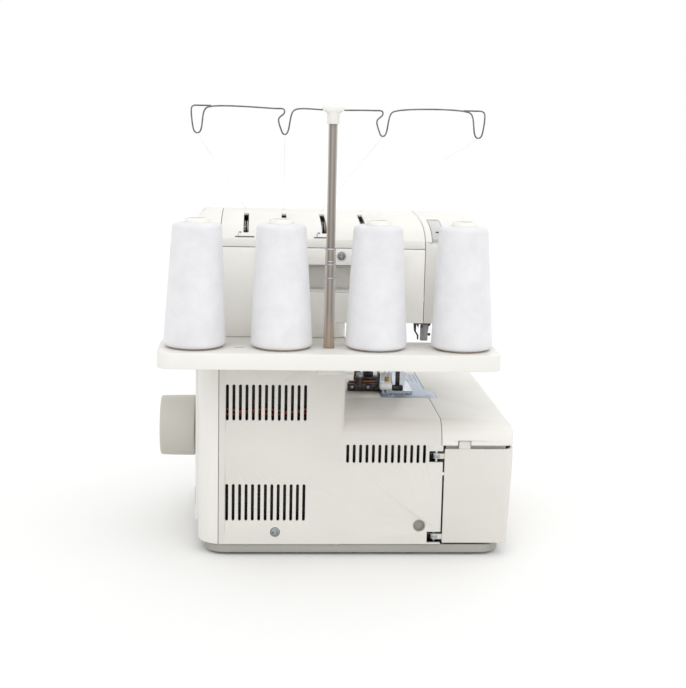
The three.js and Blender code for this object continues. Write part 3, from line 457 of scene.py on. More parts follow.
def make_materials():
    """One material for each slot of the record, and those that only small fittings use."""
    return {
        "cover": moulded_abs("moulded_abs_white", "#E3E1DC", "#DFDDD7", 0.42),
        # painted light: the arm's rear cover is the same white ABS, drawn paler for the light that falls on
        # it from above between the cones
        "arm_cover": moulded_abs("moulded_abs_white_painted_light", "#F3F1EC", "#EFEDE8", 0.42),
        # painted shade: the lower covers are the same white ABS, drawn darker for the shade under the cone
        # stand
        "lower_cover": moulded_abs("moulded_abs_white_painted_shade", "#D6D3CD", "#D1CEC8", 0.42),
        "stand": moulded_abs("moulded_abs_stand_white", "#E1DFDA", "#DCDAD5", 0.36),
        "tray": moulded_abs("moulded_abs_grey_beige", "#A2A099", "#9B9992", 0.5),
        "wheel": moulded_abs("moulded_abs_warm_grey", "#BEBCB3", "#B7B5AC", 0.4),
        "grey": moulded_abs("moulded_abs_light_grey", "#C9C9C8", "#BDBDBC", 0.4),
        "black": moulded_abs("moulded_abs_black", "#1F1F21", "#151517", 0.45),
        "rubber": moulded_rubber(),
        "belt": ribbed_belt(),
        "steel": ground_steel("ground_steel", "#CBD0D6", "#B2B8C0", 0.26, (1.0, 0.06, 1.0)),
        "plate": ground_steel("satin_ground_steel", "#B9C2CE", "#B1BAC6", 0.5, (1.0, 0.06, 1.0), 0.25),
        "screw": ground_steel("zinc_plated_steel", "#A3A9AE", "#7F858B", 0.34, (1.0, 1.0, 1.0), 0.8),
        "blued": blued_steel(),
        "casting": die_cast(),
        "tube": wound_board(),
        "thread": wound_polyester(),
        "pole": drawn_tube(POLE_X, 4.6),
        "wire": hardened_wire(),
        "bronze": copper_strip(),
        "brass": turned_brass(),
        "strand": spun_thread(),
        "label": printed_film(),
        "red_wire": insulated_wire("red_pvc_insulation", "#9E2A22", "#8A201A"),
        "orange_wire": insulated_wire("orange_pvc_insulation", "#B4552A", "#9C4420"),
        "dark_ink": printing_ink("pad_printed_dark_ink", "#4A4A4C"),
        "green_ink": printing_ink("pad_printed_green_ink", "#4E9A6A"),
        "blue_ink": printing_ink("pad_printed_blue_ink", "#4A7FC4"),
        "red_ink": printing_ink("pad_printed_red_ink", "#C9605A"),
        "yellow_ink": printing_ink("pad_printed_yellow_ink", "#D8B04A"),
    }


# ---------- building meshes ----------
def mesh_object(name, points, faces):
    """A mesh from points in metres."""
    mesh = bpy.data.meshes.new(name)
    mesh.from_pydata([tuple(point) for point in points], [], faces)
    mesh.update()
    piece = bpy.data.objects.new(name, mesh)
    bpy.context.scene.collection.objects.link(piece)
    return piece


def apply_modifiers(piece):
    """Leaves the piece with its modifiers' result as its own mesh."""
    graph = bpy.context.evaluated_depsgraph_get()
    result = bpy.data.meshes.new_from_object(piece.evaluated_get(graph))
    piece.modifiers.clear()
    piece.data = result


def smooth(piece, angle=34):
    """Smooth shading that breaks where faces meet more sharply than the angle, in degrees."""
    for face in piece.data.polygons:
        face.use_smooth = True
    piece.data.set_sharp_from_angle(angle=math.radians(angle))


def round_edges(piece, width, segments=2, angle=30):
    """Rounds the edges that are sharper than the angle, by a width in millimetres."""
    edges = piece.modifiers.new("edges", "BEVEL")
    edges.width = width * MM
    edges.segments = segments
    edges.limit_method = "ANGLE"
    edges.angle_limit = math.radians(angle)
    edges.use_clamp_overlap = False
    edges.miter_outer = "MITER_ARC"
    normals = piece.modifiers.new("normals", "WEIGHTED_NORMAL")
    normals.keep_sharp = True
    normals.mode = "FACE_AREA"
    normals.weight = 100
    apply_modifiers(piece)
    smooth(piece)


def finished(piece, body, slot, material, *stands_for):
    """Gives a piece its finish, the body that carries it and the CAD pieces it stands for."""
    piece.data.materials.clear()
    piece.data.materials.append(material)
    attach(piece, body)
    if stands_for:
        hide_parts(*stands_for)
    return piece


def fixed(piece, slot, material):
    """Finishes a piece that stands still on the machine and stands for no CAD piece."""
    return finished(piece, "machine", slot, MATERIALS[material])


def refined(node, material=None, edge=0.5, segments=2):
    """A fine copy of a CAD piece, its edges rounded and its curves smooth."""
    source = frame["nodes"][node]
    mesh = source.data.copy()
    work = bmesh.new()
    work.from_mesh(mesh)
    bmesh.ops.remove_doubles(work, verts=work.verts, dist=0.003 * MM)
    work.to_mesh(mesh)
    work.free()
    piece = bpy.data.objects.new(node + "_fine", mesh)
    bpy.context.scene.collection.objects.link(piece)
    if edge:
        round_edges(piece, edge, segments)
    else:
        smooth(piece)
    slot = SLOT_OF[node]
    return finished(piece, source["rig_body"], slot, material or MATERIALS[slot], node)


def turned_to(axis, a, b, along):
    """Swaps a lathe's own (a, b, along) onto the axis it turns about, with the same handedness."""
    return {"x": (along, a, b), "y": (b, along, a), "z": (a, b, along)}[axis]


def lathe(name, profile, middle, axis="z", steps=64, fluted=None):
    """Turns (radius, height) pairs about an axis through a place; all in millimetres.

    The profile runs so that its left side is the outside. A closed profile ends where it starts.
    fluted(angle, radius) gives the radius at an angle. The UV is in metres round and along.
    """
    closed = profile[0] == profile[-1]
    rows = profile[:-1] if closed else profile
    points, faces, row_starts = [], [], []
    for radius, height in rows:
        row_starts.append(len(points))
        count = steps if radius > 1e-6 else 1
        for i in range(count):
            angle = 2 * math.pi * i / steps - math.pi / 2
            out = fluted(angle, radius) if fluted and radius > 1e-6 else radius
            local = turned_to(axis, out * math.cos(angle), out * math.sin(angle), height)
            points.append(at(*(Vector(middle) + Vector(local))))
    pairs = list(zip(range(len(rows)), range(1, len(rows))))
    if closed:
        pairs.append((len(rows) - 1, 0))
    for low, high in pairs:
        one_low = rows[low][0] <= 1e-6
        one_high = rows[high][0] <= 1e-6
        for i in range(steps):
            j = (i + 1) % steps
            a, b = row_starts[low] + i, row_starts[low] + j
            c, d = row_starts[high] + j, row_starts[high] + i
            if one_low:
                faces.append((row_starts[low], c, d))
            elif one_high:
                faces.append((a, b, row_starts[high]))
            else:
                faces.append((a, b, c, d))
    piece = mesh_object(name, points, faces)
    lay_round(piece, middle, axis)
    return piece


def lay_round(piece, middle, axis):
    """A UV in metres: the way round at a middle radius, and the way along the axis."""
    layer = piece.data.uv_layers.new(name="round")
    origin = at(*middle)
    order = {"x": (1, 2, 0), "y": (2, 0, 1), "z": (0, 1, 2)}[axis]
    radii = [math.hypot(*[(v.co - origin)[k] for k in order[:2]]) for v in piece.data.vertices]
    mean = sum(radii) / len(radii)
    for face in piece.data.polygons:
        angles = []
        for loop in face.loop_indices:
            local = piece.data.vertices[piece.data.loops[loop].vertex_index].co - origin
            angles.append((math.atan2(local[order[1]], local[order[0]]) + math.pi / 2) % (2 * math.pi))
        across = max(angles) - min(angles) > math.pi
        for loop, angle in zip(face.loop_indices, angles):
            local = piece.data.vertices[piece.data.loops[loop].vertex_index].co - origin
            turn = angle + 2 * math.pi if across and angle < math.pi else angle
            layer.data[loop].uv = (turn * mean, local[order[2]])


def tube(name, path, radius, sides=12):
    """A round wire along places in metres; its radius is in millimetres, its ends are closed."""
    ring_count = len(path)
    tangents = []
    for i in range(ring_count):
        ahead, behind = path[min(i + 1, ring_count - 1)], path[max(i - 1, 0)]
        tangents.append((ahead - behind).normalized())
    side = tangents[0].orthogonal().normalized()
    points = []
    for i, centre_point in enumerate(path):
        if i:
            side = (tangents[i - 1].rotation_difference(tangents[i]) @ side).normalized()
        other = tangents[i].cross(side)
        for k in range(sides):
            angle = 2 * math.pi * k / sides
            reach = side * math.cos(angle) + other * math.sin(angle)
            points.append(centre_point + reach * radius * MM)
    faces = []
    for i in range(ring_count - 1):
        for k in range(sides):
            n = (k + 1) % sides
            faces.append((i * sides + k, i * sides + n, (i + 1) * sides + n, (i + 1) * sides + k))
    faces.append(tuple(reversed(range(sides))))
    faces.append(tuple(range((ring_count - 1) * sides, ring_count * sides)))
    piece = mesh_object(name, points, faces)
    smooth(piece, 60)
    return piece


def through(points, steps):
    """A smooth centripetal curve through places, with that many steps between each two."""
    ends = [2 * points[0] - points[1], *points, 2 * points[-1] - points[-2]]
    path = []
    for before, start, end, after in zip(ends, ends[1:], ends[2:], ends[3:]):
        knots = [0.0]
        for a, b in ((before, start), (start, end), (end, after)):
            knots.append(knots[-1] + math.sqrt((b - a).length))
        for i in range(steps):
            t = knots[1] + (knots[2] - knots[1]) * i / steps
            first = before.lerp(start, (t - knots[0]) / (knots[1] - knots[0]))
            second = start.lerp(end, (t - knots[1]) / (knots[2] - knots[1]))
            third = end.lerp(after, (t - knots[2]) / (knots[3] - knots[2]))
            near = first.lerp(second, (t - knots[0]) / (knots[2] - knots[0]))
            rest = second.lerp(third, (t - knots[1]) / (knots[3] - knots[1]))
            path.append(near.lerp(rest, (t - knots[1]) / (knots[2] - knots[1])))
    path.append(points[-1].copy())
    return path


def plate(name, outline, axis, low, high, edge=0.3):
    """An outline drawn out along an axis, with rounded edges; millimetres.

    The outline's pairs are (y, z) along x, (x, z) along y, and (x, y) along z.
    """
    def place(pair, along):
        a, b = pair
        return {"x": at(along, a, b), "y": at(a, along, b), "z": at(a, b, along)}[axis]

    count = len(outline)
    points = [place(pair, low) for pair in outline] + [place(pair, high) for pair in outline]
    faces = [tuple(range(count)), tuple(range(count, 2 * count))]
    for i in range(count):
        j = (i + 1) % count
        faces.append((i, j, count + j, count + i))
    piece = mesh_object(name, points, faces)
    work = bmesh.new()
    work.from_mesh(piece.data)
    bmesh.ops.recalc_face_normals(work, faces=work.faces)
    work.to_mesh(piece.data)
    work.free()
    if edge:
        round_edges(piece, edge)
    return piece


def rounded_outline(x0, x1, y0, y1, radius, steps=5):
    """A rectangle with round corners, as a list of pairs."""
    outline = []
    middles = ((x1 - radius, y1 - radius), (x0 + radius, y1 - radius),
               (x0 + radius, y0 + radius), (x1 - radius, y0 + radius))
    for quarter, (cx, cy) in enumerate(middles):
        for i in range(steps + 1):
            angle = math.pi / 2 * (quarter + i / steps)
            outline.append((cx + radius * math.cos(angle), cy + radius * math.sin(angle)))
    return outline


def block(name, xs, ys, zs, edge=0.4):
    """A rectangular lump with rounded edges, to be joined or cut; millimetres."""
    outline = [(xs[0], ys[0]), (xs[1], ys[0]), (xs[1], ys[1]), (xs[0], ys[1])]
    return plate(name, outline, "z", zs[0], zs[1], edge)


def joined(name, *parts):
    """Several meshes as one piece."""
    work = bmesh.new()
    for part in parts:
        work.from_mesh(part.data)
        bpy.data.objects.remove(part)
    mesh = bpy.data.meshes.new(name)
    work.to_mesh(mesh)
    work.free()
    piece = bpy.data.objects.new(name, mesh)
    bpy.context.scene.collection.objects.link(piece)
    return piece


def cut(piece, *cutters):
    """Takes the cutters' shapes out of a piece."""
    for cutter in cutters:
        taken = piece.modifiers.new("cut", "BOOLEAN")
        taken.operation = "DIFFERENCE"
        taken.solver = "EXACT"
        taken.object = cutter
        apply_modifiers(piece)
        bpy.data.objects.remove(cutter)
    return piece


def arc(cx, cy, radius, start, end, steps):
    """Pairs along an arc, from one angle to another in degrees."""
    pairs = []
    for i in range(steps + 1):
        angle = math.radians(start + (end - start) * i / steps)
        pairs.append((cx + radius * math.cos(angle), cy + radius * math.sin(angle)))
    return pairs


# ---------- fasteners ----------
def screw(name, middle, axis, out, radius):
    """A pan-head screw with a cross recess; out is +1 or -1, the way that its head faces."""
    rise = radius * 0.42
    dome = arc(0, 0, 1, 90, 35, 6)
    profile = [(0, -0.8 * radius), (radius, -0.8 * radius), (radius, 0)]
    profile += [(radius * a, rise * b) for a, b in reversed(dome)]
    profile = [(r, out * h) for r, h in profile]
    if out < 0:
        profile.reverse()
    profile[-1 if out > 0 else 0] = (0, out * rise)
    head = lathe(name, profile, middle, axis, 32)
    arm, blade, floor = radius * 0.6, radius * 0.14, -radius * 0.35
    for long, short in ((arm, blade), (blade, arm)):
        spans = [(-long, long), (-short, short), (out * floor, out * rise * 2)]
        spans[2] = tuple(sorted(spans[2]))
        low = turned_to(axis, *[span[0] for span in spans])
        high = turned_to(axis, *[span[1] for span in spans])
        low, high = Vector(middle) + Vector(low), Vector(middle) + Vector(high)
        cut(head, block("slot", (low.x, high.x), (low.y, high.y), (low.z, high.z), 0))
    smooth(head, 30)
    return head


def rear_screws():
    """The screws that hold the rear covers, each in its counterbore."""
    places = {
        "rear_panel_screw": ((71.5, 0.1, 22.8), 4.6),
        "arm_cover_screw": ((15, -19.9, 273), 3.7),
    }
    for name, (middle, radius) in places.items():
        fixed(screw(name, middle, "y", 1, radius), "steel", "screw")
        ring = [(radius + 0.1, -0.3), (radius + 1.0, -0.3), (radius + 1.0, 0.15),
                (radius + 0.1, 0.3), (radius + 0.1, -0.3)]
        rim = lathe(name + "_seat", ring, middle, "y", 40)
        smooth(rim)
        fixed(rim, "cover", "cover")


# ---------- covers ----------
def fine_shells():
    """The moulded covers, whose edges are rounded by half a millimetre."""
    for node in ("end_cover", "top_cover", "face_cover", "cloth_plate"):
        refined(node, edge=0.45)
    # the arm's rear cover takes the paler copy of the white: painted light
    refined("arm_rear_cover", MATERIALS["arm_cover"], edge=0.45)
    # the lower covers take the darker copy of the white: painted shade
    for node in ("rear_panel", "front_panel", "looper_cover", "side_door", "stand_bracket"):
        refined(node, MATERIALS["lower_cover"], edge=0.45)
    refined("cone_stand", edge=0.9, segments=3)
    refined("base_tray", edge=1.0, segments=3)


def seam_tongues():
    """The tongues that lap behind the covers' joints, so that no joint opens on the hollow; the black strip
    behind the door's edge is painted shade.
    """
    cover = MATERIALS["lower_cover"]
    for name, xs, ys, zs, slot, material in (
        ("end_joint_tongue", (119, 126.5), (-4.6, -3.4), (13, 192), "cover", cover),
        # painted shade: a black strip behind the door's edge, between the hinges, keeps that gap dark
        ("door_gap_painted_shade", (-80.4, -77.4), (-5.6, -4.4), (25, 90), "black", MATERIALS["black"]),
        ("door_head_tongue", (-138, -83), (-7.5, -6), (97, 109), "cover", cover),
    ):
        finished(block(name, xs, ys, zs, 0.3), "machine", slot, material)


def vent_wiring():
    """The motor's leads, tied along the foot of the upper vent."""
    for index, (z, ink, wave) in enumerate(((131.5, "red_wire", 0.0), (134.2, "orange_wire", 1.9)), 1):
        path = []
        for i in range(25):
            x = 44 + 3.4 * i
            path.append(at(x, -7.6 - 0.5 * math.sin(i * 0.8 + wave), z + 1.3 * math.sin(i * 0.55 + wave)))
        lead = tube("motor_lead_%d" % index, path, 1.1, 10)
        finished(lead, "machine", "black", MATERIALS[ink])


def vent_baffles():
    """Black pressed screens that stand inside the covers, behind the ventilation slots."""
    depth = -12
    for name, left, right, low, high in (
        ("upper_baffle", 30, 121, 112, 172),
        ("lower_baffle", 30, 121, 20, 80),
        ("side_baffle", -72, 14, 78, 114),
    ):
        sheet = plate(name, rounded_outline(left, right, low, high, 4), "y", depth - 1.2, depth, 0.3)
        ribs = [
            block("rib", (left + 3, right - 3), (depth, depth + 1.5), (z, z + 1.2), 0.2)
            for z in range(int(low) + 6, int(high) - 6, 9)
        ]
        fixed(joined(name, sheet, *ribs), "black", "black")


def hinge_springs():
    """At each hinge of the side door: a black housing, and a torsion spring on the pin."""
    pin = centre("door_hinge_pin")
    for index, z in enumerate((93.9, 17.9), 1):
        back = block("back", (-79.6, -67.5), (-12.6, -11.4), (z - 7, z + 7), 0.2)
        side = block("side", (-67.6, -66.4), (-12.6, -2.8), (z - 7, z + 7), 0.2)
        roof = block("roof", (-79.6, -67.5), (-12.6, -2.8), (z + 5.9, z + 7), 0.2)
        sill = block("sill", (-79.6, -67.5), (-12.6, -2.8), (z - 7, z - 5.9), 0.2)
        name = "hinge_housing_%d" % index
        fixed(joined(name, back, side, roof, sill), "black", "black")
        coil = []
        turns, steps = 3, 16
        for i in range(turns * steps + 1):
            angle = 2 * math.pi * i / steps
            rise = -1.9 + 3.8 * i / (turns * steps)
            coil.append(at(pin.x + 4 * math.cos(angle), pin.y + 4 * math.sin(angle), z + rise))
        leg = at(-68.6, pin.y - 1, z + 1.9)
        spring = tube("hinge_spring_%d" % index, [*coil, leg], 0.4, 8)
        fixed(spring, "steel", "steel")


def recess_lining():
    """The cup in the rear panel's lower corner, lined in grey."""
    ring = [(0, -4.9), (5.55, -4.9), (5.55, -0.2), (4.9, -0.2), (4.9, -4.3), (0, -4.3)]
    lining = lathe("recess_lining", ring, (-60, 0, 28.9), "y", 40)
    smooth(lining)
    fixed(lining, "tray", "tray")


def carrying_grip():
    """A grey strip along the top of the carrying grip, painted shade under its upper edge, and a lining in
    its floor.
    """
    low, high, left, right = 240, 265, -35, 60
    # painted shade: a grey strip where the grip's upper edge throws its shade
    lip = plate(
        "grip_painted_shade_strip", rounded_outline(left + 0.5, right - 0.5, high - 2.4, high - 0.4, 0.9),
        "y", -23, -20.2, 0.5,
    )
    fixed(lip, "tray", "tray")
    floor = plate(
        "grip_floor", rounded_outline(left + 0.6, right - 0.6, low + 0.2, low + 1.6, 0.6),
        "y", -41.5, -20.6, 0.4,
    )
    fixed(floor, "stand", "stand")


# ---------- top of the head ----------
THREAD_SLOTS = (100.4, 65.7, 30.2, -5.5)
MARK_INKS = ("green_ink", "yellow_ink", "blue_ink", "red_ink")


def top_height(y):
    """The height of the head's back edge at a depth just in front of its rear face, in mm."""
    rear, top, seam = -20, 305, 280
    points = (Vector((rear, seam)), Vector((rear, top - 9)),
              Vector((rear - 22, top - 1)), Vector((-135, top)))
    low, high = 0.0, 1.0
    for _ in range(30):
        t = (low + high) / 2
        s = 1 - t
        spot = s ** 3 * points[0] + 3 * s * s * t * points[1] + 3 * s * t * t * points[2] + t ** 3 * points[3]
        if spot.x > y:
            low = t
        else:
            high = t
    return spot.y


def dome_strip(name, left, right, front, rear, lift=0.15):
    """A thin film that follows the dome of the head between two depths; millimetres."""
    count = 8
    points, faces = [], []
    for i in range(count + 1):
        y = rear + (front - rear) * i / count
        for x in (left, right):
            for up in (lift, -0.1):
                points.append(at(x, y, top_height(y) + up))
    for i in range(count):
        a = 4 * i
        faces += [(a, a + 2, a + 6, a + 4), (a + 1, a + 5, a + 7, a + 3),
                  (a, a + 4, a + 5, a + 1), (a + 2, a + 3, a + 7, a + 6)]
    faces += [(0, 1, 3, 2), (4 * count, 4 * count + 2, 4 * count + 3, 4 * count + 1)]
    film = mesh_object(name, points, faces)
    smooth(film)
    return film


def slot_marks():
    """Beside each thread slot: its number, a coloured dash, and a thin line under both."""
    for index, (x, ink) in enumerate(zip(THREAD_SLOTS, MARK_INKS), 1):
        line = dome_strip("slot_line_%d" % index, x - 7.5, x + 9.5, -23.6, -23.0, 0.12)
        fixed(line, "cover", "dark_ink")
        dash = dome_strip("slot_dash_%d" % index, x + 4.2, x + 6.2, -28.4, -27.2, 0.14)
        finished(dash, "machine", "cover", MATERIALS[ink])
        y = -24.6
        place = at(x + 6.9, y, top_height(y) + 0.25)
        number("slot_number_%d" % index, str(index), place, 3.6, FACING_REAR, "dark_ink")


def tension_discs():
    """Inside each thread slot: two dished steel discs and the bronze leaf that presses them."""
    for index, x in enumerate(THREAD_SLOTS, 1):
        for side in (-1, 1):
            dish = [(0, 0.5), (7.6, 0.35), (9.6, 0.9), (9.6, 1.3), (7.4, 0.8), (0, 0.95)]
            profile = [(r, side * h) for r, h in (dish if side > 0 else reversed(dish))]
            disc = lathe("tension_disc_%d_%s" % (index, "left" if side < 0 else "right"),
                         profile, (x, -62, 290), "x", 40)
            smooth(disc)
            fixed(disc, "steel", "steel")
        outline = [(-58, 282), (-33, 282), *arc(-37, 292, 3.4, 0, 90, 5), (-48, 299), (-58, 296)]
        leaf = plate("tension_leaf_%d" % index, outline, "x", x - 1.9, x - 1.2, 0.15)
        fixed(leaf, "steel", "bronze")
        # painted shade: a black floor and black walls in each slot stand for the dark below the leaf
        floor = block("well", (x - 3.6, x + 3.6), (-100, -25), (279, 280.2), 0.2)
        walls = [
            block("wall", (x + side * 3.3 - 0.4, x + side * 3.3 + 0.4), (-100, -27), (280, 290), 0.1)
            for side in (-1, 1)
        ]
        well = joined("slot_painted_shade_%d" % index, floor, *walls)
        fixed(well, "black", "black")


def arm_cover_details():
    """The small latch hole beside the arm cover's screw, as a black cup: painted shade in the hole."""
    ring = [(0, -1.6), (2.1, -1.6), (2.1, 0.25), (1.6, 0.25), (1.5, -1.0), (0, -1.0)]
    # painted shade: the hole's cup is black
    hole = lathe("latch_hole_painted_shade", ring, (25.5, -20, 285), "y", 28)
    smooth(hole)
    fixed(hole, "black", "black")


def lifter_details():
    """The presser lever's eye, a black ring that is painted shade in its hole, and the dark lining of the
    slot that it lies in.
    """
    low, high = corners("presser_lever")
    eye = [(0, -0.4), (1.5, -0.4), (1.5, 0.2), (1.1, 0.3), (0.9, -0.1), (0, -0.2)]
    y = -32
    # painted shade: the eye is a black ring
    ring = lathe("lever_eye_painted_shade", eye, (-72, y, top_height(y)), "z", 24)
    smooth(ring)
    finished(ring, "lifter", "black", MATERIALS["black"])
    lining = block("lever_slot_lining", (low.x - 0.2, high.x + 0.2), (-70, -26), (272, 273.2), 0.3)
    fixed(lining, "black", "black")


# ---------- stitching parts ----------
def needle_area():
    """Under the head: the guard on its black bracket, and the lamp's lens."""
    bracket = joined(
        "guard_bracket",
        block("bar", (-84, -66.6), (-152, -147.5), (191, 214.5), 0.6),
        plate("cheek", [(-66.7, 192), (-72.2, 192), (-71.6, 187), (-69.6, 191), (-69.3, 184),
                        (-72, 180), (-72, 175.5), (-70.6, 175.5), (-70.6, 179), (-67.4, 184)],
              "y", -151.6, -148, 0.3),
        plate("hook", [(-80.3, 192), (-83.7, 192), (-83.7, 190), (-81.9, 189), (-81.6, 184),
                       (-80.4, 184)], "y", -151.6, -148, 0.3),
    )
    fixed(bracket, "black", "black")
    shield = plate("finger_guard", rounded_outline(-81.1, -73.4, 174.5, 191, 1.2),
                   "y", -148.6, -147.4, 0.3)
    fixed(shield, "steel", "casting")
    for index, (x, z) in enumerate(((-82.4, 181), (-74.9, 189)), 1):
        head = screw("guard_screw_%d" % index, (x, -147.6, z), "y", 1, 1.5)
        fixed(head, "steel", "blued")

    lens = lathe(
        "lamp_lens", [(0, 208.8), (5.5, 209.4), (7.5, 211), (8.5, 213.4), (0, 213.4)],
        (-30, -190, 0), "z", 40,
    )
    smooth(lens)
    fixed(lens, "stand", "label")


def presser_details():
    """The presser bar's clamp, its black spring and guides, and the foot's release lever."""
    collar = lathe("bar_collar", [(3.6, 182), (6.4, 182), (6.4, 190), (3.6, 190), (3.6, 182)],
                   (-50, -133, 0), "z", 32)
    round_edges(collar, 0.4)
    finished(collar, "presser", "steel", MATERIALS["brass"])
    outline = [*arc(-116, 134, 3.4, -90, 90, 6), (-126, 138), (-128, 133.5), (-126, 130.6)]
    handle = plate("foot_release", outline, "x", -43.2, -31.6, 1.2)
    finished(handle, "presser", "stand", MATERIALS["label"])
    spring = block("shank_spring", (-52.1, -47.7), (-127.8, -126.8), (133.5, 151.5), 0.3)
    ankle = block("ankle", (-55, -44.5), (-127.6, -121), (129.5, 133.6), 0.8)
    finished(joined("shank_spring", spring, ankle), "presser", "steel", MATERIALS["blued"])
    stud = lathe("foot_stud", [(0, 138), (1.9, 138), (2.1, 139), (2.1, 141.5), (1.2, 142.4), (0, 142.4)],
                 (-39.4, -124, 0), "z", 24)
    smooth(stud)
    finished(stud, "presser", "steel", MATERIALS["brass"])
    for index, x in enumerate((-41.6, -37.2), 1):
        points = [at(x, -125, 137.6), at(x, -126, 146), at(x + 0.4, -129, 153)]
        post = tube("foot_wire_%d" % index, through(points, 5), 0.7, 8)
        finished(post, "presser", "steel", MATERIALS["steel"])


def knife_details():
    """The moving knife's clamp and spring, and the blackened fixed bracket beside them."""
    clamp = block("knife_clamp", (-27, -17), (-157, -143.4), (138.2, 143), 0.6)
    ridge = block("ridge", (-24, -20), (-159, -142), (143, 145.5), 0.5)
    finished(joined("knife_clamp", clamp, ridge), "knife", "blued", MATERIALS["blued"])
    coil = []
    steps, turns = 14, 5
    for i in range(steps * turns + 1):
        angle = 2 * math.pi * i / steps
        coil.append(at(-21.5 + 3 * math.cos(angle), -150 + 3 * math.sin(angle),
                       146 + 7.5 * i / (steps * turns)))
    finished(tube("knife_spring", coil, 0.45, 8), "knife", "steel", MATERIALS["steel"])

    bed = corners("needle_plate")[1].z
    rail = block("rail", (-35.2, -0.8), (-138.6, -129.5), (bed + 0.3, bed + 7.6), 0.7)
    wedge = plate("wedge", [(-19, bed + 2), (-31, bed + 11), (-35.2, bed + 8), (-34.5, bed + 3)],
                  "y", -138.6, -134, 0.5)
    post = lathe("post", [(0, bed + 5), (4.4, bed + 5), (3.8, bed + 13.6), (0, bed + 13.6)],
                 (-12.6, -133, 0), "z", 32)
    smooth(post)
    lobes = [
        lathe("lobe", [(0, -4), (r, -4), (r, 0), (r - 0.8, 0.8), (0, 0.8)], (x, -129.5, z), "y", 20)
        for x, z, r in ((-5, bed + 4, 2.4), (-21, bed + 4.6, 3), (-28.5, bed + 3.6, 2.2))
    ]
    finished(joined("fixed_knife_bracket", rail, wedge, post, *lobes), "machine", "blued",
             MATERIALS["blued"])
    strip = block("knife_bracket_strip", (-34, -2), (-138.2, -136.4), (bed + 7.4, bed + 9.4), 0.3)
    fixed(strip, "steel", "bronze")
    washer = lathe("clamp_washer", [(0, 13.4), (4.2, 13.4), (4.2, 14.8), (0, 14.8)],
                   (-12.6, -133, bed), "z", 32)
    smooth(washer)
    fixed(washer, "steel", "bronze")
    finished(screw("clamp_screw", (-12.6, -133, bed + 17.5), "z", 1, 3.6), "machine", "steel",
             MATERIALS["plate"])
    for index, x in enumerate((-21, -5), 1):
        finished(screw("bracket_screw_%d" % index, (x, -128.8, bed + 4.3), "y", 1, 1.5),
                 "machine", "steel", MATERIALS["steel"])


def needle_plate_details():
    """The needle plate's two screws, its seam guides and the stitch fingers."""
    top = corners("needle_plate")[1].z
    for index, (x, y) in enumerate(((-72, -196), (-41, -108), (-79.5, -112)), 1):
        profile = [(0, -1.2), (2.9, -1.2), (2.9, 0.02), (2.5, 0.25), (0.6, 0.25), (0, 0.25)]
        head = lathe("plate_screw_%d" % index, profile, (x, y, top), "z", 28)
        cut(head, block("slot", (x - 4, x + 4), (y - 0.4, y + 0.4), (top - 0.3, top + 1), 0))
        smooth(head, 30)
        fixed(head, "steel", "plate")
    for index, x in enumerate((-75.5, -71, -66.5), 1):
        mark = plate("seam_guide_%d" % index, rounded_outline(x, x + 0.5, -212, -176, 0.2),
                     "z", top - 0.2, top + 0.06, 0)
        fixed(mark, "steel", "dark_ink")
    finger = tube("stitch_finger", [at(-37.5, -168, top + 0.6), at(-37.5, -140, top + 0.6),
                                    at(-37.7, -134, top + 0.3)], 0.5, 8)
    fixed(finger, "steel", "steel")


# ---------- handwheel and dials ----------
def handwheel():
    """A moulded wheel: a plain drum, a little smaller at its outer end, with a dished face."""
    low, high = corners("handwheel")
    middle = centre("handwheel")
    radius = (high.z - low.z) / 2
    length = high.x - low.x
    rim = 2.2
    profile = [(0, 1.2), (radius - 9, 1.2), (radius - 8, 0), (radius - 1.6, 0)]
    profile += arc(radius - 1.6, 1.6, 1.6, -90, 0, 4)
    profile += [(radius, length * 0.3), (radius - 0.15, length * 0.6)]
    profile += arc(radius - 0.4 - rim, length - rim, rim, 0, 80, 8)
    profile += [(radius * 0.72, length - 0.7), (radius * 0.7, length - 1.4),
                (radius * 0.3, length - 1.0), (0, length - 0.9)]
    wheel = lathe("handwheel_fine", profile, (low.x, middle.y, middle.z), "x", 96)
    smooth(wheel, 50)
    finished(wheel, "drive_shaft", "wheel", MATERIALS["wheel"], "handwheel")


def fluted_dial(node, face, radius, length):
    """A dial with finger flutes round its edge and a raised pointer."""
    middle = centre(node)
    middle.z = (corners(node)[0].z + corners(node)[1].z) / 2
    body = frame["nodes"][node]["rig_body"]
    flutes = 28

    def fluted(angle, out):
        return out - 0.45 * (out > radius * 0.8) * (0.5 + 0.5 * math.cos(flutes * angle))

    profile = [(0, -0.3), (radius * 0.35, -0.3), (radius, -0.3), (radius, -length + 2.5)]
    profile += [(radius - 0.5, -length + 1.2), (radius - 1.6, -length + 0.5), (radius - 3, -length)]
    profile += [(radius - 3.6, -length + 0.6), (0, -length + 0.5)]
    profile.reverse()
    dial = lathe(node + "_body", profile, (middle.x, face, middle.z), "y", 112, fluted)
    smooth(dial, 40)
    pointer = block(
        "pointer", (middle.x - 0.8, middle.x + 0.8),
        (face - length - 0.6, face - length + 1), (middle.z + 1, middle.z + radius - 1.5), 0.3,
    )
    stem = lathe("stem", [(0, -1), (3, -1), (3, 13.5), (0, 14)], (middle.x, face, middle.z), "y", 24)
    finished(joined(node + "_fine", dial, pointer, stem), body, "grey", MATERIALS["grey"], node)


def dial_scale(name, x, z, radius, face, count):
    """Raised ticks round a dial's seat."""
    ticks = []
    for i in range(count):
        angle = math.radians(210 - 240 * i / (count - 1))
        inner, outer = radius + 1.2, radius + 2.6
        spots = [(inner, -0.25), (outer, -0.25), (outer, 0.25), (inner, 0.25)]
        outline = [
            (x + along * math.cos(angle) - across * math.sin(angle),
             z + along * math.sin(angle) + across * math.cos(angle))
            for along, across in spots
        ]
        ticks.append(plate("tick", outline, "y", face - 0.12, face + 0.1, 0))
    fixed(joined(name, *ticks), "cover", "dark_ink")


